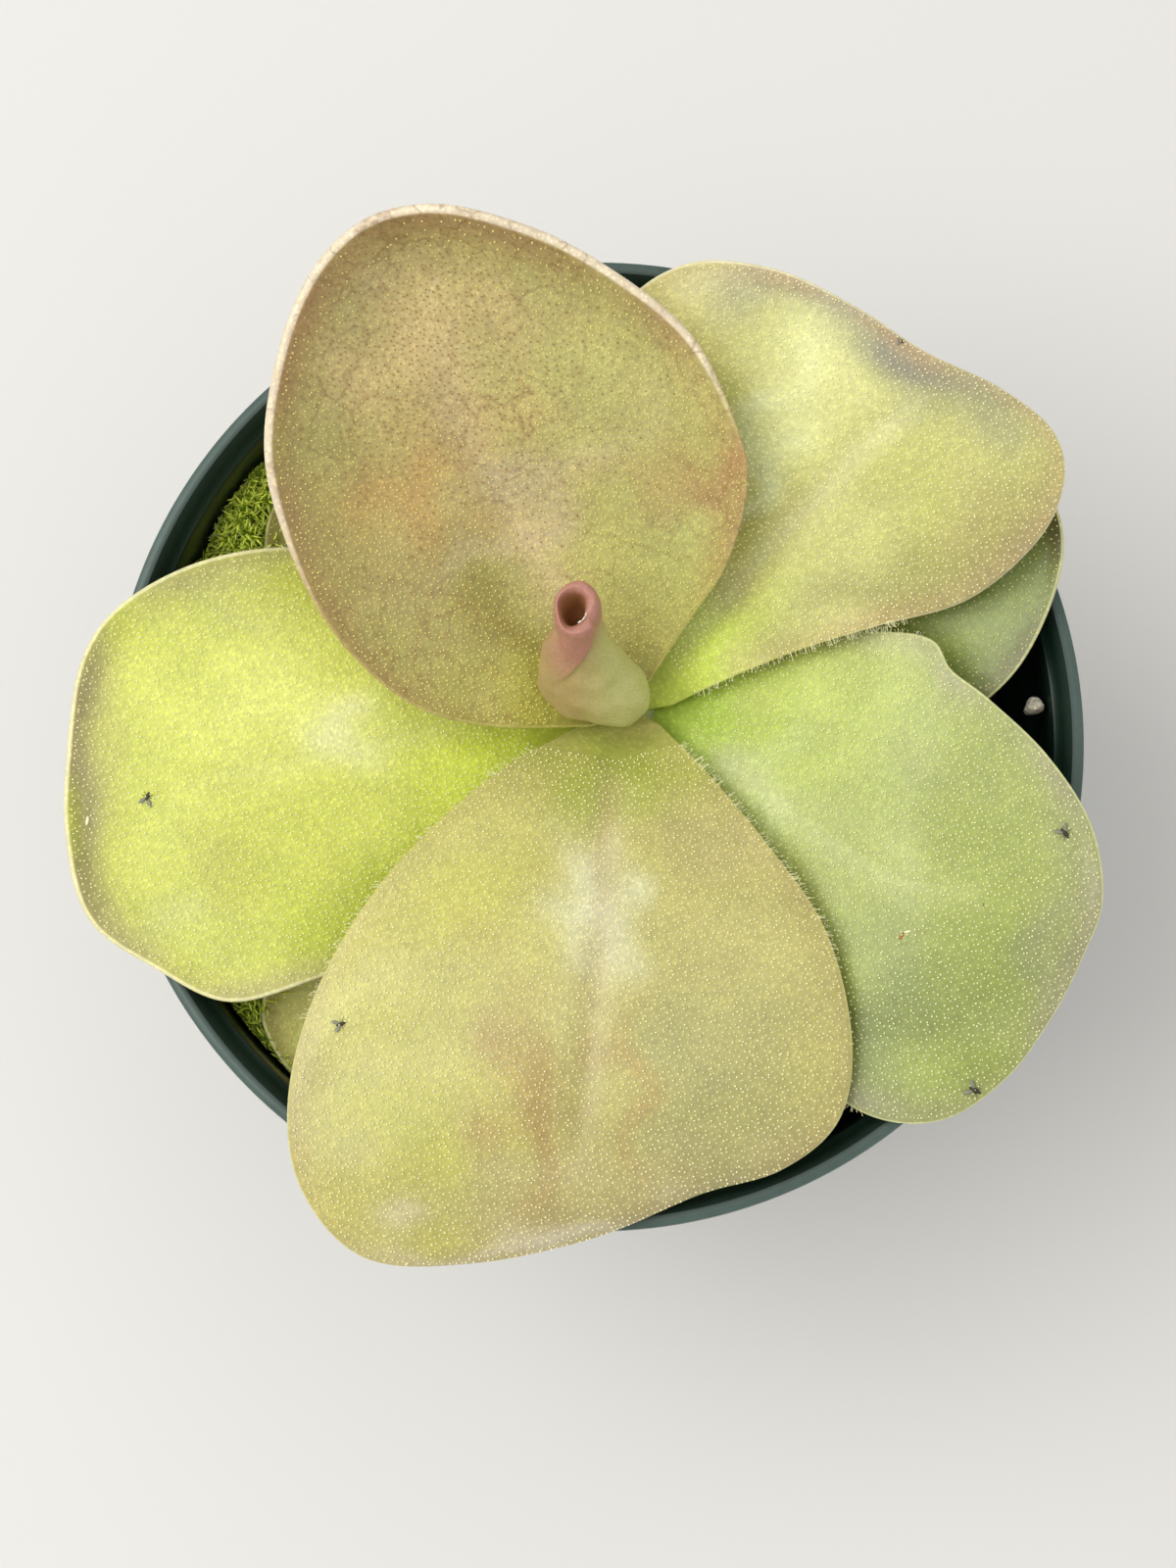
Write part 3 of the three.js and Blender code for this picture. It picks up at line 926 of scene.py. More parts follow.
    def blade(self) -> bpy.types.Object:
        """The blade: rows run from the crown to the tip, and each row goes across the top, round the right
        margin, back under the leaf and round the left margin. The lower surface is the upper one moved in
        by the thickness, and the margin is a half circle between them. In the last row the right half is
        the left half, which closes the tip.

        Returns:
            The finished object.
        """
        rows = self.fineness
        side = rows * 2 // 5
        reach = np.linspace(0, 1, side + 1)
        reach = 1 - (1 - reach) ** 1.25
        across = np.concatenate([-reach[:0:-1], reach])
        grown = np.linspace(0, 1, rows)
        along = np.concatenate([np.linspace(-0.9, 0, 8, endpoint=False), 1 - (1 - grown) ** 1.2])
        u, v = np.meshgrid(along, across, indexing="ij")
        top, up = self.top(u, v), self.normal(u, v)
        size = self._edge_size(u, v)
        thick = size + (self.thickness - size) * (1 - v**2) ** 0.8
        under = top - up * thick[..., None]
        tint = self._tint(top, u, v)
        pale = linear(self.underside) * 0.45 + tint * 0.55
        arc = np.pi / 2 - np.linspace(0, np.pi, self.edge_steps + 1)[1:-1]
        right, left = (self._edge(top[:, i], up[:, i], size[:, i], arc) for i in (-1, 0))
        ripe = mixed(tint, linear(self.edge_colour), self._grown_edge(u, v)[..., None] * 0.95)
        right_rim, left_rim = (np.repeat(ripe[:, i : i + 1], len(arc), 1) for i in (len(across) - 1, 0))
        points = np.concatenate([top, right, under[:, ::-1], left[:, ::-1]], 1)
        shades = np.concatenate([tint, right_rim, pale[:, ::-1], left_rim], 1)
        around = points.shape[1]
        faces, used = self._folded(len(along), around, len(across))
        kept = np.vstack([points.reshape(-1, 3)[used], points[0].mean(0)])
        shade = np.vstack([shades.reshape(-1, 3)[used], shades[0].mean(0)])
        base = fan(np.arange(around)[::-1], len(kept) - 1)
        surface = Surface()
        surface.add(kept, [faces, base], shade)
        flesh = VEINED_FLESH if self.veined else LEAF_FLESH
        return surface.make(self.name + "_blade", [flesh.material()])

    def _folded(self, rows: int, around: int, count: int) -> tuple[np.ndarray, np.ndarray]:
        """Faces of the blade's grid, closed at the tip: in the last row each corner of the right half is
        replaced by its mirror image in the left half, and faces that lose a corner are left out.

        Args:
            rows: rows of the grid.
            around: corners in each row.
            count: how many corners of a row lie on the top.

        Returns:
            (n, 4) corner numbers among the kept corners, and the kept corners' numbers in the grid.
        """
        number = np.arange(rows * around)
        last = (rows - 1) * around
        mirrored = np.concatenate([
            np.arange(count)[::-1],
            np.arange(around - 1, around - self.edge_steps, -1),
            (count + self.edge_steps - 1) + np.arange(count)[::-1],
            np.arange(count + self.edge_steps - 2, count - 1, -1),
        ])
        number[last:] = last + np.minimum(np.arange(around), mirrored)
        quads = number[strip_quads(rows, around, True)]
        whole = np.array([len(np.unique(quad)) == 4 for quad in quads[-around:]])
        faces = np.vstack([quads[:-around], quads[-around:][whole]])
        used, kept = np.unique(faces, return_inverse=True)
        return kept.reshape(-1, 4), used

    def _edge(self, margin: np.ndarray, up: np.ndarray, size: np.ndarray, arc: np.ndarray) -> np.ndarray:
        """The half circle round one margin: about a centre half the edge's thickness below the top, and
        outwards across the margin's own direction.

        Args:
            margin: (rows, 3) last points of the top.
            up: their outward directions.
            size: (rows,) thicknesses of the margin.
            arc: angles from the top to the underside.

        Returns:
            (rows, len(arc), 3) points.
        """
        ahead = np.gradient(margin, axis=0)
        ahead[-1] = ahead[-2]
        out = unit(np.cross(ahead, up))
        away = margin - curve_at(self._spine, np.full(len(margin), 0.5))
        away[..., 2] = 0
        flip = np.sign((out * away).sum(-1, keepdims=True))
        out = out * np.where(flip == 0, 1, flip)
        half = size[:, None] / 2
        centre = margin - up * half
        swing = np.sin(arc)[None, :, None] * up[:, None] + np.cos(arc)[None, :, None] * out[:, None]
        return centre[:, None] + half[:, None] * swing

    def drops(self) -> bpy.types.Object:
        """The stalked drops. Random places on the blade are sorted into square cells in plan, and each cell
        keeps the place nearest its middle, so that the drops stand about a spacing apart.

        Returns:
            The finished object.
        """
        rng = np.random.default_rng(self.seed)
        u, v = rng.uniform(0.03, 1, self.tries) ** 0.8, rng.uniform(-0.985, 0.985, self.tries)
        at = self.top(u, v)
        turned = at[:, :2] @ np.array([[0.9, -0.44], [0.44, 0.9]]) / self.spacing
        cell = np.floor(turned).astype(int)
        spread = np.sin(cell @ np.array([[12.99, 39.35], [78.23, 11.14]])) * 43758.55
        middle = np.linalg.norm(turned - cell - 0.5 - 0.6 * (spread % 1 - 0.5), axis=1)
        order = np.argsort(middle)
        _, first = np.unique(cell[order], axis=0, return_index=True)
        chosen = order[first]
        at, u, v = at[chosen], u[chosen], v[chosen]
        up = self.normal(u, v)
        sizes = rng.uniform(0.75, 1.2, len(at))
        turns = rng.uniform(0, TURN, len(at))
        takes = np.zeros(len(at))
        for wash in self.other_at:
            takes = np.maximum(takes, wash.cover(at))
        other = rng.uniform(size=len(at)) < takes
        surface = Surface()
        for finish, pick in enumerate((~other, other)):
            scatter(surface, DROPLET, at[pick], up[pick], sizes[pick], turns[pick], np.ones(3), finish)
        scatter(surface, HAIR, *self._fringe(rng), np.ones(3), 0)
        finishes = [self.dew.value, self.other_dew.value]
        for thing in self.caught:
            self._stick(surface, thing, finishes)
        return surface.make(self.name + "_drops", [finish.material() for finish in finishes])

    def _stick(self, surface: Surface, thing: Caught, finishes: list[DropFinish]) -> None:
        """Adds something caught, lying along the blade at the place nearest to its own in plan.

        Args:
            surface: what it is added to.
            thing: what is caught.
            finishes: the finishes so far; those that it needs are added.
        """
        u, v = (grid.ravel() for grid in np.meshgrid(np.linspace(0, 1, 160), np.linspace(-0.99, 0.99, 161)))
        top = self.top(u, v)
        nearest = np.argmin(np.linalg.norm(top[:, :2] - thing.at, axis=1))
        up = self.normal(u[nearest : nearest + 1], v[nearest : nearest + 1])[0]
        turn = np.radians(thing.turn)
        ahead = unit(np.cross(np.cross(up, [np.cos(turn), np.sin(turn), 0]), up))
        beside = np.cross(up, ahead)
        at = top[nearest : nearest + 1] + up * 0.1 * thing.size
        size, first = thing.size, len(finishes)
        shapes = ((0.3, 0.26, 1.0), (0.3, 0.08, 0.8), (0.1, 0.1, 1.3))
        body, wing, leg = (size * np.array([shape]) for shape in shapes)
        finishes.append(thing.husk.value)
        scatter(surface, CRUMB, at, ahead[None], body, np.zeros(1), np.ones(3), first)
        if thing.husk is not Husk.GNAT:
            return
        finishes.append(Husk.WING.value)
        for side in (-1, 1):
            way = unit(ahead * -0.9 + beside * side * 0.7 + up * 0.25)
            tail = at + way * size * 0.9
            scatter(surface, CRUMB, tail, way[None], wing, np.zeros(1), np.ones(3), first + 1)
        steps = [ahead * step + beside * side + up * 0.1 for side in (-1, 1) for step in (-0.8, 0.1, 0.9)]
        legs, count = unit(np.array(steps)), len(steps)
        scatter(surface, NEEDLE, np.repeat(at, count, 0), legs, np.repeat(leg, count, 0), np.zeros(count),
                np.ones(3), first)

    def _fringe(self, rng: np.random.Generator) -> tuple[np.ndarray, np.ndarray, np.ndarray, np.ndarray]:
        """Fine hairs that stand out from the margin near the base.

        Args:
            rng: source of their unevenness.

        Returns:
            Places, directions, sizes and turns.
        """
        count = self.hairs
        u = rng.uniform(0.06, 0.42, count)
        side = rng.choice([-1.0, 1.0], count)
        at = self.top(u, side * 0.995)
        up = self.normal(u, side * 0.99)
        out = unit(at - self.top(u, side * 0.9))
        way = unit(out + up * rng.uniform(0.1, 1.1, (count, 1)) + 0.25 * rng.normal(size=(count, 3)))
        return at, way, rng.uniform(0.45, 0.8, count), rng.uniform(0, TURN, count)

    def build(self) -> None:
        """Makes the blade and its drops."""
        place(self.blade(), self.slot, self.name)
        place(self.drops(), self.slot)


@dataclass
class RolledLeaf:
    """The young leaf, still rolled: a leaning cone of tilted oval rings with a deep mouth and a thick lip.
    The last wrap lies over the rest and ends in a soft step that sweeps down from the lip across the front.

    Attributes:
        name: the node that it replaces.
        rings: (x, y, z, half-length, half-width) from the foot up the outside, over the lip and down the
            mouth.
        outside: how many of these rings, from the foot, lie outside the mouth.
        turn: the long direction of each ring, in degrees from +X.
        tip: how much higher each ring is towards +Y, in millimetres for each millimetre.
        step: height of the last wrap's edge.
        step_at: angle of that edge, in degrees, at the belly and at the lip.
        waist: depth of the fold at the front of the foot, as a share of the radius.
        rows: rings of the finished surface.
        sides: corners in each ring.
    """

    name: str = "curled_leaf"
    rings: tuple[tuple[float, ...], ...] = (
        (0.6, 3.4, 65.6, 1.6, 1.2), (0.5, 3.5, 66.8, 2.5, 1.8), (0.3, 3.8, 68.2, 3.8, 2.5),
        (0.05, 4.0, 69.8, 4.5, 2.95), (-0.15, 4.2, 71.2, 4.65, 3.1), (-0.55, 4.8, 73.0, 4.05, 3.0),
        (-1.05, 5.7, 75.0, 3.2, 2.75),
        (-1.2, 6.7, 77.0, 2.3, 2.4), (-1.05, 7.7, 79.0, 1.65, 2.05), (-1.3, 8.7, 80.6, 1.85, 2.15),
        (-1.4, 8.95, 81.5, 1.7, 2.0), (-1.55, 8.9, 81.8, 1.35, 1.62), (-1.7, 8.75, 81.5, 1.08, 1.32),
        (-1.6, 8.6, 80.6, 0.92, 1.1), (-1.35, 8.2, 79.0, 0.7, 0.9), (-1.2, 7.6, 77.6, 0.4, 0.5),
    )
    outside: int = 11
    turn: float = -14.0
    tip: float = 0.2
    step: float = 0.42
    step_at: tuple[float, float] = (-125.0, -22.0)
    waist: float = 0.13
    rows: int = 130
    sides: int = 144

    def build(self) -> None:
        """Makes the cone. A ring's corner at an angle is its middle plus its half-length times the cosine
        along its long direction and its half-width times the sine across it, both times one plus the step's
        share. Three torn bits of skin hang at the lip."""
        share = np.linspace(0, 1, self.rows)[:, None]
        ring = curve_at(np.array(self.rings), share[:, 0])
        angle = np.linspace(-np.pi, np.pi, self.sides, endpoint=False)[None]
        height = share * (len(self.rings) - 1)
        raised, fold = self._wrap(height, np.degrees(angle))
        inside = smooth_step(self.outside, self.outside + 1.5, height)
        swell = 1 + self.step * raised * (1 - inside) / ring[:, 3:4] - fold * self.waist
        along, across = ring[:, 3:4] * np.cos(angle) * swell, ring[:, 4:5] * np.sin(angle) * swell
        turn = np.radians(self.turn)
        dx = along * np.cos(turn) - across * np.sin(turn)
        dy = along * np.sin(turn) + across * np.cos(turn)
        near_lip = smooth_step(self.outside - 4, self.outside, height)
        level = ring[:, 2:3] + self.tip * dy + 0.25 * raised * near_lip
        points = np.stack([ring[:, :1] + dx, ring[:, 1:2] + dy, level], -1)
        points += 0.07 * (np.stack([ripple(points, 3.5, k) for k in (61, 62, 63)], -1))
        flat = np.vstack([points.reshape(-1, 3), points[0].mean(0), points[-1].mean(0)])
        tint = self._tint(points, height, raised, inside)
        tint = np.vstack([tint.reshape(-1, 3), tint[0, 0], tint[-1, 0]])
        surface = Surface()
        surface.add(flat, closed_tube(self.rows, self.sides), tint)
        torn = np.array([[-1.15, 7.7, 81.62], [-0.85, 7.95, 81.72], [-0.68, 8.25, 81.8]])
        ways = unit(np.array([[0.9, 0.5, 0.2], [0.6, 0.8, 0.1], [0.3, 1.0, 0.1]]))
        sizes = np.array([[0.09, 0.07, 0.24], [0.07, 0.09, 0.26], [0.06, 0.06, 0.22]])
        scatter(surface, CRUMB, torn, ways, sizes, np.zeros(3), linear("efe6d0"))
        place(surface.make(self.name + "_cone", [YOUNG_FLESH.material()]), "leaf_young", self.name)

    def _wrap(self, height: np.ndarray, angle: np.ndarray) -> tuple[np.ndarray, np.ndarray]:
        """Where the last wrap lies over the rest, and where the foot folds in.

        Args:
            height: (rows, 1) place along the rings.
            angle: (1, sides) degrees round them.

        Returns:
            Two arrays of shares from 0 to 1, for each row and side.
        """
        low, high = self.step_at
        edge = low + (high - low) * smooth_step(5.0, 10.0, height)
        behind = (edge - angle) % 360
        raised = smooth_step(-1, 13, behind) * (1 - smooth_step(40, 150, behind))
        raised = raised * smooth_step(4.5, 7.5, height)
        fold = np.exp(-(((angle + 88) / 17) ** 2)) * (1 - smooth_step(3.0, 7.0, height))
        return raised, fold

    def _tint(self, points: np.ndarray, height: np.ndarray, raised: np.ndarray,
              inside: np.ndarray) -> np.ndarray:
        """Colour of the cone: green at the right of the foot, tan at the left, rosy at the lip, brown in the
        mouth.

        Args:
            points: the corners.
            height: their places along the rings.
            raised: share by which the last wrap covers them.
            inside: share by which they are in the mouth.

        Returns:
            Linear colours.
        """
        green, tan, rosy = linear("bfbd7c"), linear("b69e6c"), linear("b57f70")
        deep, olive = linear("9c6a40"), linear("a5a858")
        left = smooth_step(-2.6, 2.6, -points[..., 0] - 0.3)[..., None]
        colour = mixed(green, tan, left)
        foot = (1 - smooth_step(1.0, 4.0, height))[..., None] * 0.7
        colour = mixed(colour, olive, foot)
        blush = smooth_step(7.2, 9.6, height) + 0.75 * raised * smooth_step(5.5, 8.0, height)
        colour = mixed(colour, rosy, np.clip(blush, 0, 1)[..., None])
        dark = (inside * smooth_step(self.outside, self.outside + 2, height))[..., None]
        return mixed(colour, deep, dark)


@dataclass
class Crown:
    """The short stem and the taper of roots below it, turned about its own axis and a little uneven.

    Attributes:
        at: its axis in plan.
        profile: (radius, height) pairs from the root's end to the top.
        rows: points along its smooth profile.
        sides: corners in each ring.
    """

    at: tuple[float, float] = CROWN_AT
    profile: tuple[tuple[float, float], ...] = (
        (0, 43.5), (1.5, 43.6), (2.4, 47), (3.6, 53), (4.5, 57.5),
        (4.2, 59), (3.3, 61), (2.5, 62.6), (1.2, 63.2), (0, 63.3),
    )
    rows: int = 46
    sides: int = 48

    def build(self) -> None:
        """Makes the stem: the profile follows a smooth curve, and each ring is a circle moved out by
        ripples. It is brown in the ground and green above."""
        line = curve_at(np.array([(r, 0, z) for r, z in self.profile]), np.linspace(0, 1, self.rows))
        angle = np.arange(self.sides) / self.sides * TURN
        radius = np.maximum(line[1:-1, 0], 0.05)
        ring = np.stack([np.cos(angle), np.sin(angle), 0 * angle], -1)
        points = radius[:, None, None] * ring + np.array([0, 0, 1]) * line[1:-1, None, 2:]
        points = points * (1 + 0.06 * ripple(points, 4, 5))[..., None] * [1, 1, 0] + points * [0, 0, 1]
        points += [*self.at, 0]
        flat = np.vstack([points.reshape(-1, 3), [*self.at, line[0, 2]], [*self.at, line[-1, 2]]])
        root, stem = linear("6b4a32"), linear("b3bb72")
        green = smooth_step(56, 61, flat[:, 2:])
        surface = Surface()
        surface.add(flat, closed_tube(len(points), self.sides), mixed(root, stem, green))
        place(surface.make("crown_stem", [CROWN_FLESH.material()]), "crown_tissue", "crown")


# ---------------------------------------------------------------- pot and potting mix


@dataclass
class Pot:
    """The nursery pot: one closed skin turned about the upright axis, with slots through the foot.

    Attributes:
        height: of the whole pot.
        rim: outer radius at the lip.
        foot: outer radius at the bottom.
        wall: thickness.
        floor: thickness of the floor.
        collar: height of the collar's lower edge.
        slots: how many drain slots.
        sides: corners in each ring.
        slot_reach: half the width of a slot, in corners of a ring.
    """

    height: float = 70.0
    rim: float = 40.0
    foot: float = 27.5
    wall: float = 1.0
    floor: float = 1.4
    collar: float = 60.0
    slots: int = 6
    sides: int = 216
    slot_reach: int = 5

    def wall_radius(self, height: float) -> float:
        """Radius of the wall's outside at a height under the collar."""
        return self.foot + (self.rim - 2.1 - self.foot) * height / self.collar

    def build(self) -> None:
        """Makes the pot: the profile is turned, the cells of each slot are left out, and the outer and the
        inner borders of each opening are joined."""
        top, wall = self.height, self.wall
        slot = [(23.5, 0.0), (self.foot - 0.8, 0.0), (self.foot, 0.8), (self.wall_radius(3.5), 3.5)]
        inner = [(23.5, self.floor), (self.foot - wall - 0.5, self.floor),
                 (self.wall_radius(2.0) - wall, 2.0), (self.wall_radius(3.5) - wall, 3.5)]
        outside = [(self.wall_radius(z), z) for z in (20, 40, 59.2)]
        inside = [(self.wall_radius(z) - wall, rise) for z, rise in ((59, 59.4), (40, 40), (20, 20))]
        collar = [
            (self.wall_radius(60), 59.9), (38.6, 60.2), (38.9, 60.5), (39, 61), (39, 66.9), (39.1, 67.4),
        ]
        lip = [
            (39.7, 67.65), (40, 68), (40, 69.5), (39.92, 69.8), (39.65, top - 0.03), (39.3, top),
            (39.0, top - 0.06), (38.75, top - 0.35), (38.35, top - 1.1), (38.0, top - 1.5),
            (37.75, top - 1.62), (37.6, top - 1.9),
        ]
        profile = np.array([
            (8.0, 0.0), (16.0, 0.0), *slot, *outside, *collar, *lip, (37.55, 64), (37.5, 60.6), (37.2, 60.1),
            *inside, *inner[::-1], (16.0, self.floor), (8.0, self.floor),
        ])
        points = turned_rings(profile, self.sides)
        points[..., :2] *= (1 + 0.0006 * ripple(points, 60, 3))[..., None]
        rows = len(profile)
        flat = np.vstack([points.reshape(-1, 3), [0, 0, 0], [0, 0, self.floor]])
        quads, *poles = closed_tube(rows, self.sides)
        quads = quads.reshape(rows - 1, self.sides, 4)
        step = self.sides // self.slots
        near = (np.arange(self.sides) + self.slot_reach - step // 2) % step < 2 * self.slot_reach
        low, high = 2, rows - 2 - 4
        keep = np.ones((rows - 1, self.sides), bool)
        keep[low : low + 3, near] = False
        keep[high : high + 3, near] = False
        edges = []
        outer_rows, inner_rows = np.arange(low, low + 4), np.arange(high + 3, high - 1, -1)
        starts = np.flatnonzero(near & ~np.roll(near, 1))
        ends = (np.flatnonzero(near & ~np.roll(near, -1)) + 1) % self.sides
        for columns, turn in ((starts, False), (ends, True)):
            for a, b, c, d in zip(outer_rows[:-1], outer_rows[1:], inner_rows[1:], inner_rows[:-1]):
                quad = np.stack([np.full(len(columns), r) * self.sides + columns for r in (a, b, c, d)], -1)
                edges.append(quad if not turn else quad[:, ::-1])
        spans = np.flatnonzero(near)
        after = (spans + 1) % self.sides
        for outer_row, inner_row, turn in ((low, high + 3, True), (low + 3, high, False)):
            quad = np.stack([outer_row * self.sides + spans, outer_row * self.sides + after,
                             inner_row * self.sides + after, inner_row * self.sides + spans], -1)
            edges.append(quad if not turn else quad[:, ::-1])
        surface = Surface()
        surface.add(flat, [quads[keep], *edges, *poles], self._tint(flat))
        place(surface.make("nursery_pot", [POT_PLASTIC.material()], crease=32), "pot_plastic", "pot")


    def _tint(self, points: np.ndarray) -> np.ndarray:
        """Colour of the pot: dark green, dulled in wide patches, with a painted highlight round the top of
        the lip: a paler band, strongest at its outer edge.

        Args:
            points: (n, 3) corners.

        Returns:
            Linear colours.
        """
        worn = smooth_step(0.2, 1.4, ripple(points, 30, 8))[:, None] * 0.35
        tint = mixed(linear("14271f"), linear("22332a"), worn)
        # Painted highlight: the top of the lip, most of all its outer edge, is paled as if it caught the
        # light.
        outer = smooth_step(39.0, 39.5, np.linalg.norm(points[:, :2], axis=1))[:, None]
        lip = smooth_step(69.2, 69.8, points[:, 2:]) * (0.12 + 0.5 * outer)
        return mixed(tint, linear("5f746e"), lip)


@dataclass
class PottingMix:
    """The potting mix: a body that fills the pot, with an uneven top and loose crumbs on it.

    Attributes:
        floor: height of its underside.
        edge: height of its top at the wall.
        crown: height of its top at the middle.
        crumbs: how many loose crumbs lie on it.
        grains: how many small pale grains lie among them.
        rings: rings of its top.
        sides: corners in each ring.
    """

    floor: float = 1.8
    edge: float = 55.0
    crown: float = 57.5
    crumbs: int = 1500
    grains: int = 90
    rings: int = 60
    sides: int = 160

    def surface_height(self, at: np.ndarray) -> np.ndarray:
        """Height of the top: a low dome with ripples of two sizes.

        Args:
            at: (..., 3) places, of which the height isn't read.

        Returns:
            Heights in millimetres.
        """
        radius = np.linalg.norm(at[..., :2], axis=-1)
        flat = np.concatenate([at[..., :2], np.zeros_like(at[..., :1])], -1)
        rough = 0.35 * ripple(flat, 7, 21) + 0.25 * np.abs(ripple(flat, 2.4, 22))
        return self.edge + (self.crown - self.edge - 0.6) * smooth_step(0, 1, 1 - radius / 36) + rough - 0.3

    def build(self) -> None:
        """Makes the body, turned, with its top raised to the surface height, then the crumbs."""
        outer = np.array([
            (12.0, self.floor), (25.0, self.floor), (25.9, 2.4), (28.6, 15), (31.1, 30), (33.7, 45),
            (35.2, 54.0),
        ])
        radii = np.linspace(1, 0, self.rings)[:-1] * 35.3
        profile = np.vstack([outer, np.stack([radii, np.full(len(radii), self.edge)], -1)])
        points = turned_rings(profile, self.sides)
        points[len(outer) :, :, 2] = self.surface_height(points[len(outer) :])
        flat = np.vstack([points.reshape(-1, 3), [0, 0, self.floor], [0, 0, self.crown - 0.3]])
        surface = Surface()
        earth = linear("2b211a") * (1 + 0.3 * ripple(flat, 5, 31))[:, None]
        surface.add(flat, closed_tube(len(profile), self.sides), np.clip(earth, 0.002, 1))
        self._crumbs(surface)
        finishes = [MIX_EARTH.material(), PERLITE.material()]
        place(surface.make("planting_mix", finishes), "potting_mix", "potting_mix")

    def _crumbs(self, surface: Surface) -> None:
        """Scatters peat crumbs, bark chips and a few pale grains over the top.

        Args:
            surface: what they are added to.
        """
        rng = np.random.default_rng(4)
        for count, colours, low, high, finish in (
            (self.crumbs, ("2a1f18", "3b2c20", "1d1713", "4a3826"), 0.3, 0.9, 0),
            (self.grains, ("cfc8b4", "b9ac8c", "d8d4c4"), 0.3, 0.7, 1),
        ):
            radius, angle = 35 * np.sqrt(rng.uniform(0.02, 1, count)), rng.uniform(0, TURN, count)
            at = np.stack([radius * np.cos(angle), radius * np.sin(angle), 0 * angle], -1)
            at[:, 2] = self.surface_height(at) + 0.1
            up = unit(rng.normal(size=(count, 3)) + [0, 0, 1])
            sizes = rng.uniform(low, high, (count, 1)) * rng.uniform(0.5, 1.1, (count, 3))
            sizes = np.minimum(sizes, (36.0 - radius)[:, None])
            shades = np.array([linear(c) for c in colours])[rng.integers(len(colours), size=count)]
            scatter(surface, CRUMB, at, up, sizes, rng.uniform(0, TURN, count), shades, finish)


@dataclass
class PerliteGrain:
    """A puffed grain: a ball pushed in and out by ripples of two sizes.

    Attributes:
        node: the node that it replaces.
        seed: starts its unevenness.
        rows: rings of the ball.
        sides: corners in each ring.
    """

    node: str
    seed: int
    rows: int = 22
    sides: int = 32

    def build(self) -> None:
        """Makes the grain to fill its node's box: the ball's rings are turned from its half circle."""
        low, high = (np.array(corner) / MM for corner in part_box(self.node))
        tilt = (np.arange(self.rows) + 1) / (self.rows + 1) * np.pi
        ball = turned_rings(np.stack([np.sin(tilt), -np.cos(tilt)], -1), self.sides).reshape(-1, 3)
        ball = np.vstack([ball, [0, 0, -1], [0, 0, 1]])
        swell = 0.88 + 0.1 * ripple(ball, 2.2, self.seed) + 0.05 * ripple(ball, 0.7, self.seed + 1)
        points = (low + high) / 2 + ball * swell[:, None] * (high - low) / 2
        tint = linear("d3ccb8") * (1 + 0.12 * ripple(ball, 0.8, self.seed + 2))[:, None]
        surface = Surface()
        surface.add(points, closed_tube(self.rows, self.sides), tint)
        place(surface.make(self.node + "_lump", [PERLITE.material()]), "perlite", self.node)


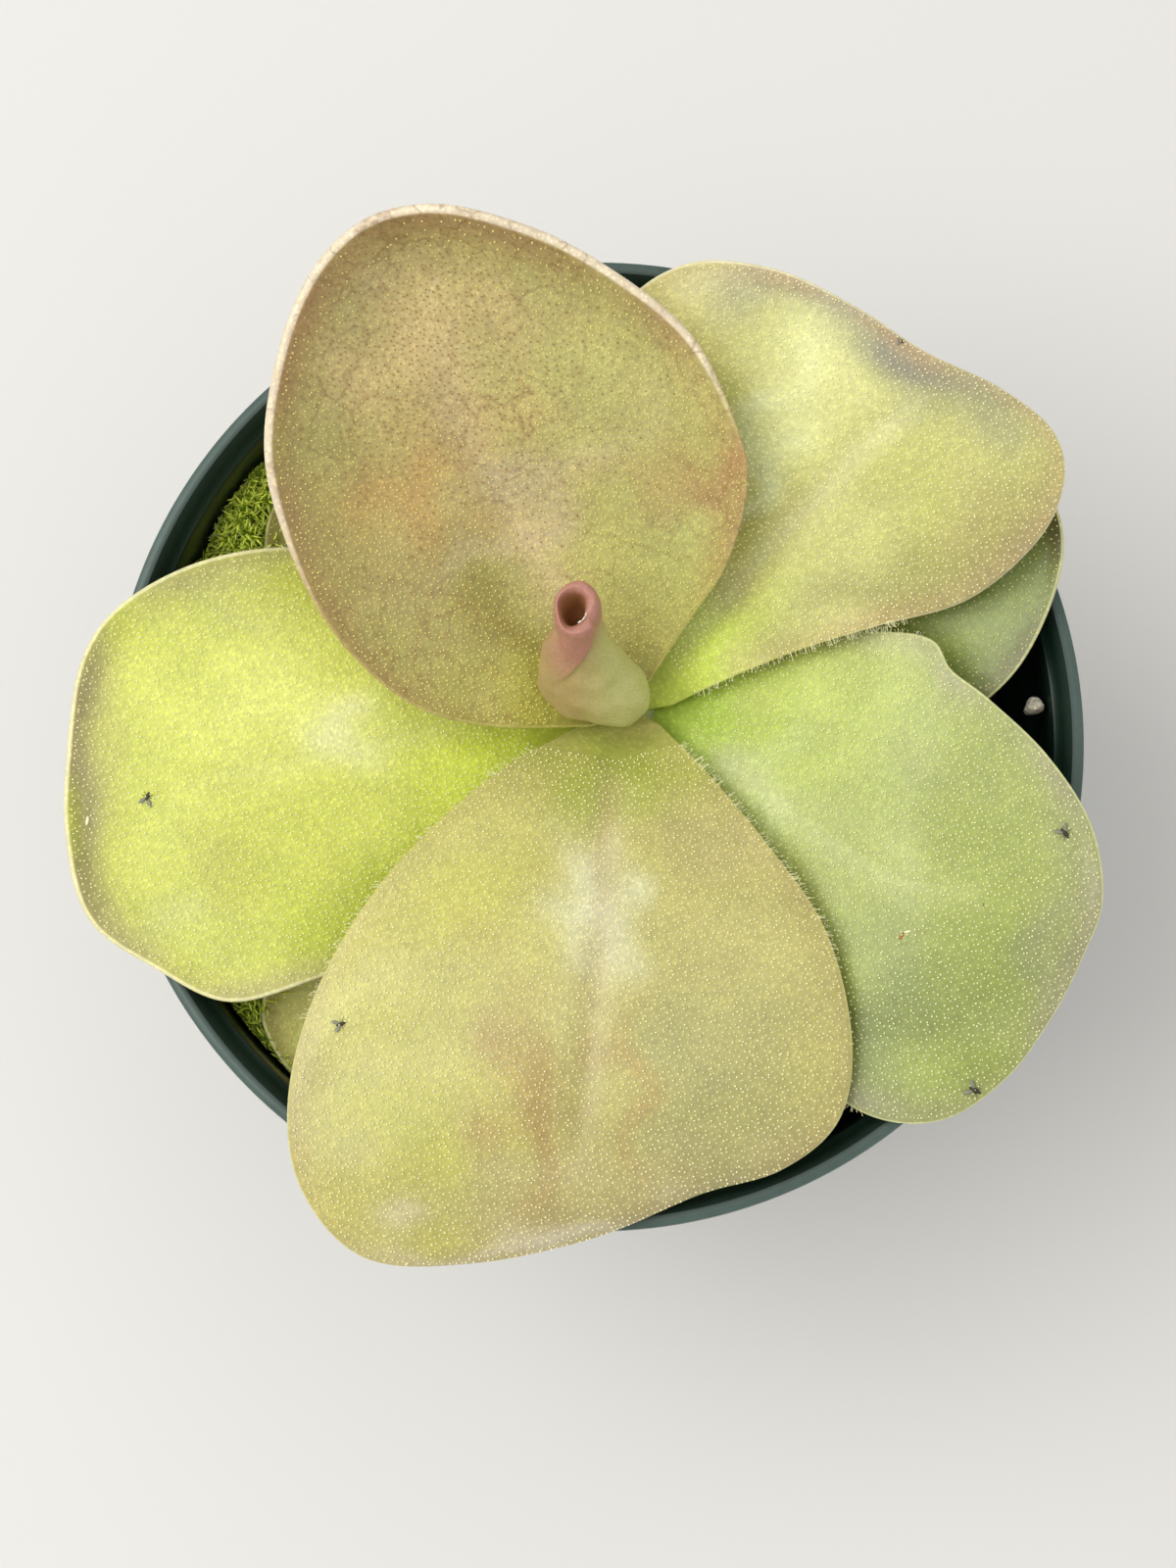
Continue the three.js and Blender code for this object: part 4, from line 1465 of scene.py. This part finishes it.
@dataclass
class MossCushion:
    """A cushion of moss: a low dark mound crowded with upright shoots, each with a star of needle leaves.
    No shoot stands right under the old leaf that leans over the cushion.

    Attributes:
        node: the node that it replaces.
        roof: outline of the old leaf above it.
        shoots: how many shoots are tried.
        needles: how many needle leaves each shoot has.
        half: half-lengths of the cushion along the pot's wall and across it.
        wall: radius that no needle passes, under the pot's collar and inside it.
        seed: starts its unevenness.
    """

    node: str
    roof: tuple[Point, ...]
    shoots: int = 520
    needles: int = 14
    half: tuple[float, float] = (8.2, 4.0)
    wall: tuple[float, float] = (36.2, 37.1)
    seed: int = 1

    def _roots(self, rng: np.random.Generator) -> tuple[np.ndarray, np.ndarray, float]:
        """Where the shoots stand: random places in an oval along the wall, a little outside the node's
        middle, on a mound that is highest at its middle and climbs at the wall.

        Args:
            rng: source of the places.

        Returns:
            (n, 3) places, (n, 3) directions in which the shoots grow, and the oval's turn in radians.
        """
        low, high = (np.array(corner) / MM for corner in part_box(self.node))
        middle = (low + high) / 2
        outward = unit(middle * [1, 1, 0])
        ahead = np.array([-outward[1], outward[0], 0])
        radius, angle = np.sqrt(rng.uniform(0, 1, self.shoots)), rng.uniform(0, TURN, self.shoots)
        along, across = radius * np.cos(angle) * self.half[0], radius * np.sin(angle) * self.half[1]
        at = middle * [1, 1, 0] + along[:, None] * ahead + (across[:, None] + 1.6) * outward
        at[:, 1] += np.sign(middle[1]) * 1.0
        climb = 2.8 * np.clip(across / self.half[1], 0, 1)
        at[:, 2] = low[2] + 1.0 + 2.0 * (1 - radius**2) + climb
        at = at[~lies_inside(at, np.array(self.roof, float))]
        way = unit(np.array([0, 0, 1.0]) + 0.2 * outward + 0.25 * rng.normal(size=at.shape))
        return at, way, float(np.arctan2(ahead[1], ahead[0]))

    def build(self) -> None:
        """Makes the mound and its needles. A shoot's needles leave its stem at rising heights, each turned
        by the golden angle from the one below, and lean outwards less towards the top."""
        rng = np.random.default_rng(self.seed)
        root, way, turn = self._roots(rng)
        count = len(root)
        length = rng.uniform(2.4, 4.8, count)
        up_stem = np.linspace(0.15, 1, self.needles)
        at = root[:, None] + way[:, None] * (length[:, None] * up_stem)[..., None]
        spin = np.arange(self.needles) * GOLDEN_ANGLE + rng.uniform(0, TURN, (count, 1))
        first, second = frames_about(way, np.zeros(count))
        out = np.cos(spin)[..., None] * first[:, None] + np.sin(spin)[..., None] * second[:, None]
        lean = way[:, None] * (0.5 + 1.1 * up_stem[:, None] ** 2) + out
        size = rng.uniform(1.4, 2.6, (count, self.needles)) * (0.6 + 0.4 * up_stem)
        # Painted light: the needles get lighter towards the shoot's top, and the bright colour is raised to
        # make up for the shade of the pot's wall and the leaves.
        bright, deep, dry = linear("eefb62"), linear("86b326"), linear("efe8c6")
        lit = (0.3 + 0.7 * up_stem[None, :, None]) * rng.uniform(0.6, 1.1, (count, 1, 1))
        shade = mixed(deep, bright, lit)
        shade = np.where(rng.uniform(size=(count, 1, 1)) < 0.06, dry, shade)
        thin = np.stack([np.full(size.shape, 0.34), np.full(size.shape, 0.18), size], -1)
        surface = Surface()
        scatter(surface, NEEDLE, at.reshape(-1, 3), unit(lean.reshape(-1, 3)), thin.reshape(-1, 3),
                spin.ravel(), shade.reshape(-1, 3))
        scatter(surface, STEM, root, way, np.stack([np.ones(count), np.ones(count), length], -1),
                np.zeros(count), deep)
        low, high = (np.array(corner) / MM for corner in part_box(self.node))
        mound = (low + high) / 2 * [1, 1, 0] + low * [0, 0, 1]
        scatter(surface, CRUMB, mound[None], np.array([[0, 0, 1.0]]), np.array([[3.4, 7.2, 2.0]]),
                np.array([turn - np.pi / 2]), linear("2c3a0e"))
        for points in surface.points:
            wall = self.wall[0] + (self.wall[1] - self.wall[0]) * smooth_step(60.5, 61.5, points[:, 2])
            points[:, :2] *= np.minimum(1, wall / np.linalg.norm(points[:, :2], axis=1))[:, None]
        place(surface.make(self.node + "_shoots", [MOSS_LEAF.material()]), "moss", self.node)


# ---------------------------------------------------------------- stage


@dataclass
class Studio:
    """Camera, floor and soft lights.

    Attributes:
        target: what the camera looks at, in millimetres.
        turn: the camera's azimuth in degrees, from -Y towards +X.
        lift: its elevation in degrees.
        distance: from the target.
        lens: focal length in millimetres on a 36 mm frame.
    """

    target: Point = (-0.6, -3.8, 70.0)
    turn: float = 4.0
    lift: float = 84.0
    distance: float = 230.0
    lens: float = 64.69

    def camera(self) -> None:
        """Places the camera: back along the direction given by its azimuth and elevation, level with +X."""
        turn, lift = np.radians(self.turn), np.radians(self.lift)
        back = np.array([np.sin(turn) * np.cos(lift), -np.cos(turn) * np.cos(lift), np.sin(lift)])
        right = unit(np.cross(-back, [0, 1, 0]))
        up = np.cross(right, -back)
        data = bpy.data.cameras.new("camera")
        data.lens = self.lens
        data.sensor_width = 36.0
        data.clip_start, data.clip_end = 0.01, 20.0
        camera = bpy.data.objects.new("camera", data)
        at = Vector((np.array(self.target) + back * self.distance) * MM)
        facing = Matrix(np.stack([right, up, back], 1).tolist()).to_4x4()
        camera.matrix_world = Matrix.Translation(at) @ facing
        bpy.context.scene.collection.objects.link(camera)
        bpy.context.scene.camera = camera

    def floor(self) -> None:
        """Lays a wide pale floor under the pot."""
        mesh = bpy.data.meshes.new("floor")
        mesh.from_pydata([(-9, -9, 0), (9, -9, 0), (9, 9, 0), (-9, 9, 0)], [], [(0, 1, 2, 3)])
        paint = bpy.data.materials.new("floor_paint")
        paint.use_nodes = True
        shader = paint.node_tree.nodes["Principled BSDF"]
        shader.inputs["Base Color"].default_value = (0.78, 0.77, 0.75, 1)
        shader.inputs["Roughness"].default_value = 0.7
        mesh.materials.append(paint)
        floor = bpy.data.objects.new("floor", mesh)
        bpy.context.scene.collection.objects.link(floor)

    def lights(self) -> None:
        """Hangs the soft lights and sets the even light from all round."""
        for name, at, size, power, colour in (
            ("window", (-0.42, 0.05, 0.7), 0.55, 3.6, (1.0, 0.985, 0.95)),
            ("ceiling", (-0.05, 0.1, 0.95), 0.9, 2.3, (1.0, 1.0, 0.98)),
            ("fill", (0.7, -0.6, 0.35), 0.5, 0.6, (1.0, 1.0, 1.0)),
        ):
            data = bpy.data.lights.new(name, "AREA")
            data.size, data.energy, data.color = size, power, colour
            light = bpy.data.objects.new(name, data)
            light.location = at
            light.rotation_euler = (Vector((0, 0, 0.07)) - Vector(at)).to_track_quat("-Z", "Y").to_euler()
            bpy.context.scene.collection.objects.link(light)
        world = bpy.data.worlds.new("surround")
        world.use_nodes = True
        world.node_tree.nodes["Background"].inputs["Color"].default_value = (1.0, 1.0, 0.97, 1)
        world.node_tree.nodes["Background"].inputs["Strength"].default_value = 0.5
        bpy.context.scene.world = world
        bpy.context.scene.view_settings.view_transform = "Standard"

    def build(self) -> None:
        """Sets up the whole studio."""
        self.camera()
        self.floor()
        self.lights()


# ---------------------------------------------------------------- the plant

# Nine leaves, from the youngest to the oldest. Margins and spines are (x, y, z) points in millimetres.
LEAVES = (
    Leaf(
        name="back_leaf", slot="leaf_blush", seed=1,
        edge_from=(0.55, 0.62), thickness=1.1, lip=0.3, edge=0.85, fineness=96, veined=True,
        ground="bab26c", edge_colour="ecdcc0", border="b58e6a", border_width=1.6, border_strength=0.5,
        midrib="d6c098", midrib_width=2.0, midrib_strength=0.55, dew=Dew.GOLD, other_dew=Dew.BROWN,
        margin=(
            (-0.5, 1.5, 66.5), (-8.5, 1, 71), (-15, 2.5, 74), (-21, 8, 77), (-24.5, 15.5, 80),
            (-25.5, 22.5, 83), (-23, 31.5, 86.5), (-18.5, 37, 88.5), (-12.5, 38.5, 89.5), (-5.5, 37, 89),
            (0.5, 34.5, 87), (7, 30, 84.5), (10.5, 24.5, 82), (12, 19.5, 79.5), (10.5, 13.5, 76),
            (7.5, 9.5, 71), (4.5, 5.5, 66.5),
        ),
        spine=(
            (2.5, 4, 65.5), (-1.5, 9.5, 68.5), (-6, 17, 72), (-11, 25.5, 76.5), (-12.5, 34, 82),
        ),
        washes=(
            Wash("cab67e", (-13, 32), (12, 8), 0, 0.8), Wash("c0bc76", (2, 28), (9, 9), -20, 0.8),
            Wash("c08a56", (-14, 20), (7, 4), 35, 0.5), Wash("ab9a60", (-21, 14), (4, 9), 60, 0.6),
            Wash("968a40", (-7, 9), (8, 3.5), -40, 0.7), Wash("b0805c", (11.5, 20), (2.2, 9), 90, 0.7),
            Wash("bcbe70", (6, 15), (5, 6), 0, 0.7), Wash("b0ae46", (-4, 4), (7, 3), 0, 0.7),
            Wash("d8c088", (-15, 29), (6, 4), 0, 0.6), Wash("ccb996", (-6, 18), (2.4, 9), 122, 0.6),
        ),
        other_at=(
            Wash("a47f52", (-14, 31), (13, 11), 0, 0.9),
        ),
    ),
    Leaf(
        name="front_leaf", slot="leaf_blush", seed=2,
        fineness=96, ground="c0b970", edge_colour="dcd796", border="b3a06c", border_width=1.5,
        border_strength=0.35, midrib="b8a27a", midrib_width=1.3, midrib_strength=0.45,
        margin=(
            (5.5, 1.5, 65.5), (9, -2.5, 69), (14, -9, 72), (18.5, -16, 73.5), (20.5, -24.5, 73.5),
            (19.5, -31, 72.8), (15, -35, 71.8), (8.5, -37, 71.2), (0, -40.5, 71.2), (-10, -42.5, 71.2),
            (-18.5, -42, 71.5), (-23.5, -36.5, 72.6), (-24.5, -29, 73.2), (-22, -20, 73.2),
            (-16.5, -11, 72), (-8.5, -3, 69), (-1.5, 1.5, 65.5),
        ),
        spine=(
            (2, 1, 65), (1, -6.5, 70.5), (0.5, -15, 74.3), (-0.5, -24.5, 75.3), (-1.5, -34, 74.3),
        ),
        washes=(
            Wash("a4ae46", (1, -2), (7, 5), 0, 0.9), Wash("cecd6c", (-11, -13), (6, 8), 30, 0.8),
            Wash("d6d27c", (-19, -20), (3.5, 7), 0, 0.6), Wash("bab84c", (-14, -31), (6, 9), 0, 0.8),
            Wash("a98a4c", (-5, -31), (3, 11), 12, 0.8), Wash("b88f4c", (2.5, -30), (1.8, 7), 0, 0.6),
            # The whitish washes e6e6c4 on the middle of the blade and ddd3ba along the front edge are painted
            # highlights.
            Wash("e6e6c4", (0.5, -13), (2.8, 5.5), 0, 0.85), Wash("a5a26a", (9, -30), (8, 9), 0, 0.7),
            Wash("ddd3ba", (-3, -40), (17, 1.5), 8, 0.85), Wash("b5a87e", (4, -36), (17, 2.6), 10, 0.5),
            Wash("b9aa78", (10, -8), (4, 5), 40, 0.4),
        ),
        caught=(
            Caught(Husk.GNAT, (-20.1, -23.4), 0.5, 20),
        ),
    ),
    Leaf(
        name="back_right_leaf", slot="leaf_lime", seed=3,
        ground="c6c576", edge_colour="e4dcb4", border="bfa27e", border_width=1.8, border_strength=0.45,
        midrib="d6cfa8", midrib_strength=0.4,
        margin=(
            (2.5, 7.5, 64.5), (2.5, 16, 69), (1.7, 25, 73), (1.9, 33.3, 76.5), (7, 37.1, 78.5),
            (14, 36.5, 79.5), (20.5, 33.5, 79.5), (26, 30, 79.3), (32, 27, 79.2), (36.5, 23.5, 78.5),
            (37.5, 19.5, 77.5), (35.5, 15, 76), (30, 10.5, 74.5), (22.5, 8.5, 73.5), (16.5, 7, 71),
            (10.5, 5, 67.5), (6.5, 3.5, 64.5),
        ),
        spine=(
            (4.5, 5, 64), (10.5, 11, 69), (17, 18, 74.5), (22, 23.5, 78.3), (26.5, 25.5, 79.5),
        ),
        washes=(
            # The bright wash d2e45e at the base is partly the leaf's own colour and partly painted light,
            # lightening the shade near the crown as if light shone through the flesh.
            Wash("d2e45e", (7.5, 7), (8, 6), 40, 0.95), Wash("dcdc8c", (16, 26), (8, 6), 0, 0.7),
            Wash("eee6a0", (6, 33), (5, 6), 0, 0.7), Wash("928e80", (25, 30.8), (11, 3.4), -32, 0.9),
            Wash("b4a86c", (32, 15), (8, 5), 40, 0.6), Wash("b9ab62", (12, 16), (4, 4), 0, 0.5),
            Wash("a6a45c", (22, 11), (9, 2.6), 10, 0.75), Wash("c6c768", (25, 18), (4, 6), 0, 0.5),
            Wash("b0ab94", (15, 36), (8, 2.2), -12, 0.6), Wash("e8eebc", (13, 22), (2, 7), 150, 0.8),
        ),
        caught=(
            Caught(Husk.GNAT, (24.4, 30.6), 0.3),
        ),
    ),
    Leaf(
        name="left_leaf", slot="leaf_lime", seed=4,
        edge=0.5, lip=0.45, ground="d0d65c", edge_colour="e8e2ac", border="ad9f7c", border_width=1.8,
        border_strength=0.5, midrib="d6d48c", midrib_strength=0.25,
        margin=(
            (-3.5, -0.5, 62.8), (-7, -5.5, 64.5), (-12.5, -12.5, 67), (-18, -17.5, 69.5),
            (-23.5, -20, 71.5), (-29.5, -21.5, 72), (-35, -19, 72.3), (-40.5, -15, 72.8),
            (-42.5, -8, 73.2), (-42.5, -1, 73), (-41.5, 6, 73), (-38.5, 10.5, 73), (-32.5, 14, 72.6),
            (-25.5, 15.5, 71.5), (-18.5, 15, 69.5), (-11.5, 11.5, 66.5), (-4, 6, 63),
        ),
        spine=(
            (-3, 3, 62.5), (-11.5, 1, 65.5), (-20, -1, 68.3), (-29.5, -3, 70.3), (-36.5, -4.5, 71),
        ),
        washes=(
            # The pale washes eaee84 and f4f4bc in the middle of the blade are painted sheen, a reflection of
            # the light on its rounded middle.
            Wash("eaee84", (-23, 3), (12, 6), 0, 0.75), Wash("b8c434", (-18, -14), (10, 4.5), 42, 0.8),
            # The bright wash dcea50 at the base is partly the leaf's own colour and partly painted light,
            # lightening the shade near the crown as if light shone through the flesh.
            Wash("b0a67c", (-41, -4), (2.2, 13), 0, 0.8), Wash("dcea50", (-7, 0), (7, 7), 0, 0.9),
            Wash("f4f4bc", (-20, 1), (4, 2.2), 20, 0.7), Wash("b9ba4a", (-30, -10), (6, 5), 0, 0.6),
            Wash("cfd080", (-33, 12), (9, 2.2), -12, 0.6), Wash("c9c898", (-34, -15), (4, 3), 40, 0.35),
        ),
        caught=(
            Caught(Husk.GNAT, (-36.5, -4.9), 0.55, 70), Caught(Husk.SCAR, (-41.2, -6.9), 0.5, 80),
        ),
    ),
    Leaf(
        name="right_leaf", slot="leaf_lime", seed=5,
        ground="aab65c", edge_colour="dadda2", border="a39c80", border_width=1.8, border_strength=0.5,
        midrib="c8cb94", midrib_strength=0.3,
        margin=(
            (7, 5, 63.5), (12.5, 6.6, 65.8), (18, 8.6, 69), (23.3, 8.4, 72.3), (27, 7.5, 74),
            (28.5, 5, 74.5), (31.5, 2.5, 75), (36, -2, 75.3), (39.5, -7.5, 75), (40.5, -13.5, 74.3),
            (38.9, -18.2, 73.7), (36.6, -22.7, 73.1), (33, -27.6, 72.6), (28, -31, 72),
            (22.5, -30.9, 71.6), (17.5, -27.6, 71), (13.6, -22.5, 70.1), (9.8, -13, 68.2),
            (5.5, -1, 63.5),
        ),
        spine=(
            (5.5, 3, 63), (12.5, -3, 67.5), (19, -8.5, 71.5), (25, -12.3, 74), (31, -13.2, 74.6),
        ),
        washes=(
            # The bright wash b4cf4a at the base is partly the leaf's own colour and partly painted light,
            # lightening the shade near the crown as if light shone through the flesh.
            Wash("b4cf4a", (8, 2), (6, 6), 0, 0.95), Wash("cbd96e", (19, 3), (7, 5), 0, 0.7),
            Wash("dce6a4", (13, -4), (3, 4), 40, 0.7), Wash("989a74", (37, -17), (3, 10), -20, 0.7),
            Wash("7c883e", (23, -23), (11, 7), 20, 0.85), Wash("b4bd68", (22, -11), (7, 4), -35, 0.6),
            Wash("a6ac6c", (37, -9), (3, 6), 0, 0.6), Wash("9ca45c", (29, -4), (5, 6), 0, 0.5),
        ),
        caught=(
            Caught(Husk.GNAT, (37.5, -8.3), 0.6, -50), Caught(Husk.GNAT, (30.2, -28.7), 0.65, -30),
            Caught(Husk.RUST, (24.5, -16.4), 0.4, 60), Caught(Husk.SCAR, (24.9, -16.1), 0.35, 10),
        ),
    ),
    Leaf(
        name="small_right_leaf", slot="leaf_shaded", seed=6,
        fineness=60, spacing=0.55, ground="84934a", edge_colour="cfcf98", border="6f6a42",
        border_width=1.6, border_strength=0.6, dew=Dew.GOLD,
        margin=(
            (7.5, 8, 61), (14.5, 13.5, 64), (20.5, 19.5, 67.5), (28, 23, 71.2), (34, 23, 73),
            (37, 19.5, 73.2), (38, 15, 73), (36.5, 9.5, 72.6), (33.5, 4.5, 71.2), (28.5, 1, 69),
            (22, 0, 66.5), (15, 1, 63.5), (8, 3, 61),
        ),
        spine=(
            (7.5, 5.5, 60.5), (14.5, 7.5, 63), (21.5, 10, 66.5), (27.5, 12.5, 70), (32, 14, 72),
        ),
        washes=(
            Wash("a6b552", (25, 9), (7, 6), 0, 0.8),
        ),
        caught=(
            Caught(Husk.GNAT, (26.8, 8.7), 0.22),
        ),
    ),
    Leaf(
        name="rear_under_leaf", slot="leaf_shaded", seed=7,
        fineness=50, spacing=0.7, ground="9aa35c", dew=Dew.GOLD,
        margin=(
            (0.2, 7.2, 61.5), (-3, 13, 62.5), (-7, 20, 64), (-8.5, 27.5, 65.5), (-7, 34, 67),
            (-4, 37, 68), (0, 37, 68.5), (3.5, 35, 68.5), (5.5, 29.5, 67.5), (6, 23, 66),
            (5.5, 17, 64.2), (5, 11.5, 62.5), (3.5, 7.4, 61.5),
        ),
        spine=(
            (2, 7, 61), (1, 12, 61.8), (0, 18.5, 63), (-1, 25, 64.3), (-1, 30.5, 65.8),
        ),
    ),
    Leaf(
        name="lower_left_leaf", slot="leaf_shaded", seed=8,
        # The very pale ground is partly painted light: it is raised to make up for the shade that the leaves
        # above cast on this one.
        fineness=50, spacing=0.6, ground="fcf89a", edge_colour="f6f2b0", dew=Dew.GOLD,
        margin=(
            (-0.5, -2, 60.5), (-4, -9.5, 61), (-9, -18.5, 61.5), (-14.5, -26, 62.5), (-21, -29.5, 63.5),
            (-25, -27.5, 64), (-27.5, -23.5, 64), (-27.5, -20.5, 63.8), (-26, -16.5, 63.2),
            (-22, -11.5, 62.2), (-15.5, -5.5, 61.2), (-9, -2, 60.5), (-3, 1, 60),
        ),
        spine=(
            (-2.5, -0.5, 59.5), (-7.5, -6, 59.8), (-12.5, -12.5, 60.5), (-17, -17.8, 61.3),
            (-21.5, -20.6, 62.2),
        ),
    ),
    Leaf(
        name="upper_left_leaf", slot="leaf_shaded", seed=9,
        edge_colour="b9b870", fineness=50, spacing=0.6, ground="a4a650", dew=Dew.GOLD,
        margin=(
            (-3, 4.5, 60), (-9, 5.5, 60.5), (-15.5, 8, 61.3), (-22.5, 10.5, 62.3), (-27, 13.5, 63.2),
            (-28, 17, 63.6), (-27, 21, 63.8), (-23, 24, 63.6), (-18, 24, 63), (-13, 20, 62),
            (-8, 15, 61.2), (-4, 10.5, 60.5), (-1, 6.5, 60),
        ),
        spine=(
            (-2.5, 5, 59.5), (-7.5, 8.5, 59.9), (-13, 12, 60.6), (-18, 15, 61.4), (-22.5, 18, 62.2),
        ),
    ),
)


def corners(box: tuple[Vector, Vector]) -> list[list[float]]:
    """A box's two corners as plain lists."""
    return [list(corner) for corner in box]


def main() -> None:
    """Builds the studio and every piece of the plant."""
    logging.basicConfig(level=logging.INFO, format="%(name)s %(message)s")
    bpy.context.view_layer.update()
    Studio().build()
    Pot().build()
    PottingMix().build()
    Crown().build()
    for leaf in LEAVES:
        leaf.build()
    RolledLeaf().build()
    outlines = {leaf.name: leaf.margin for leaf in LEAVES}
    for seed, side in enumerate(("upper_left", "lower_left"), 1):
        MossCushion(f"moss_{side}", outlines[f"{side}_leaf"], seed=seed).build()
    for number in range(1, 7):
        PerliteGrain(f"perlite_grain_{number}", number * 7).build()


if __name__ == "__main__":
    main()
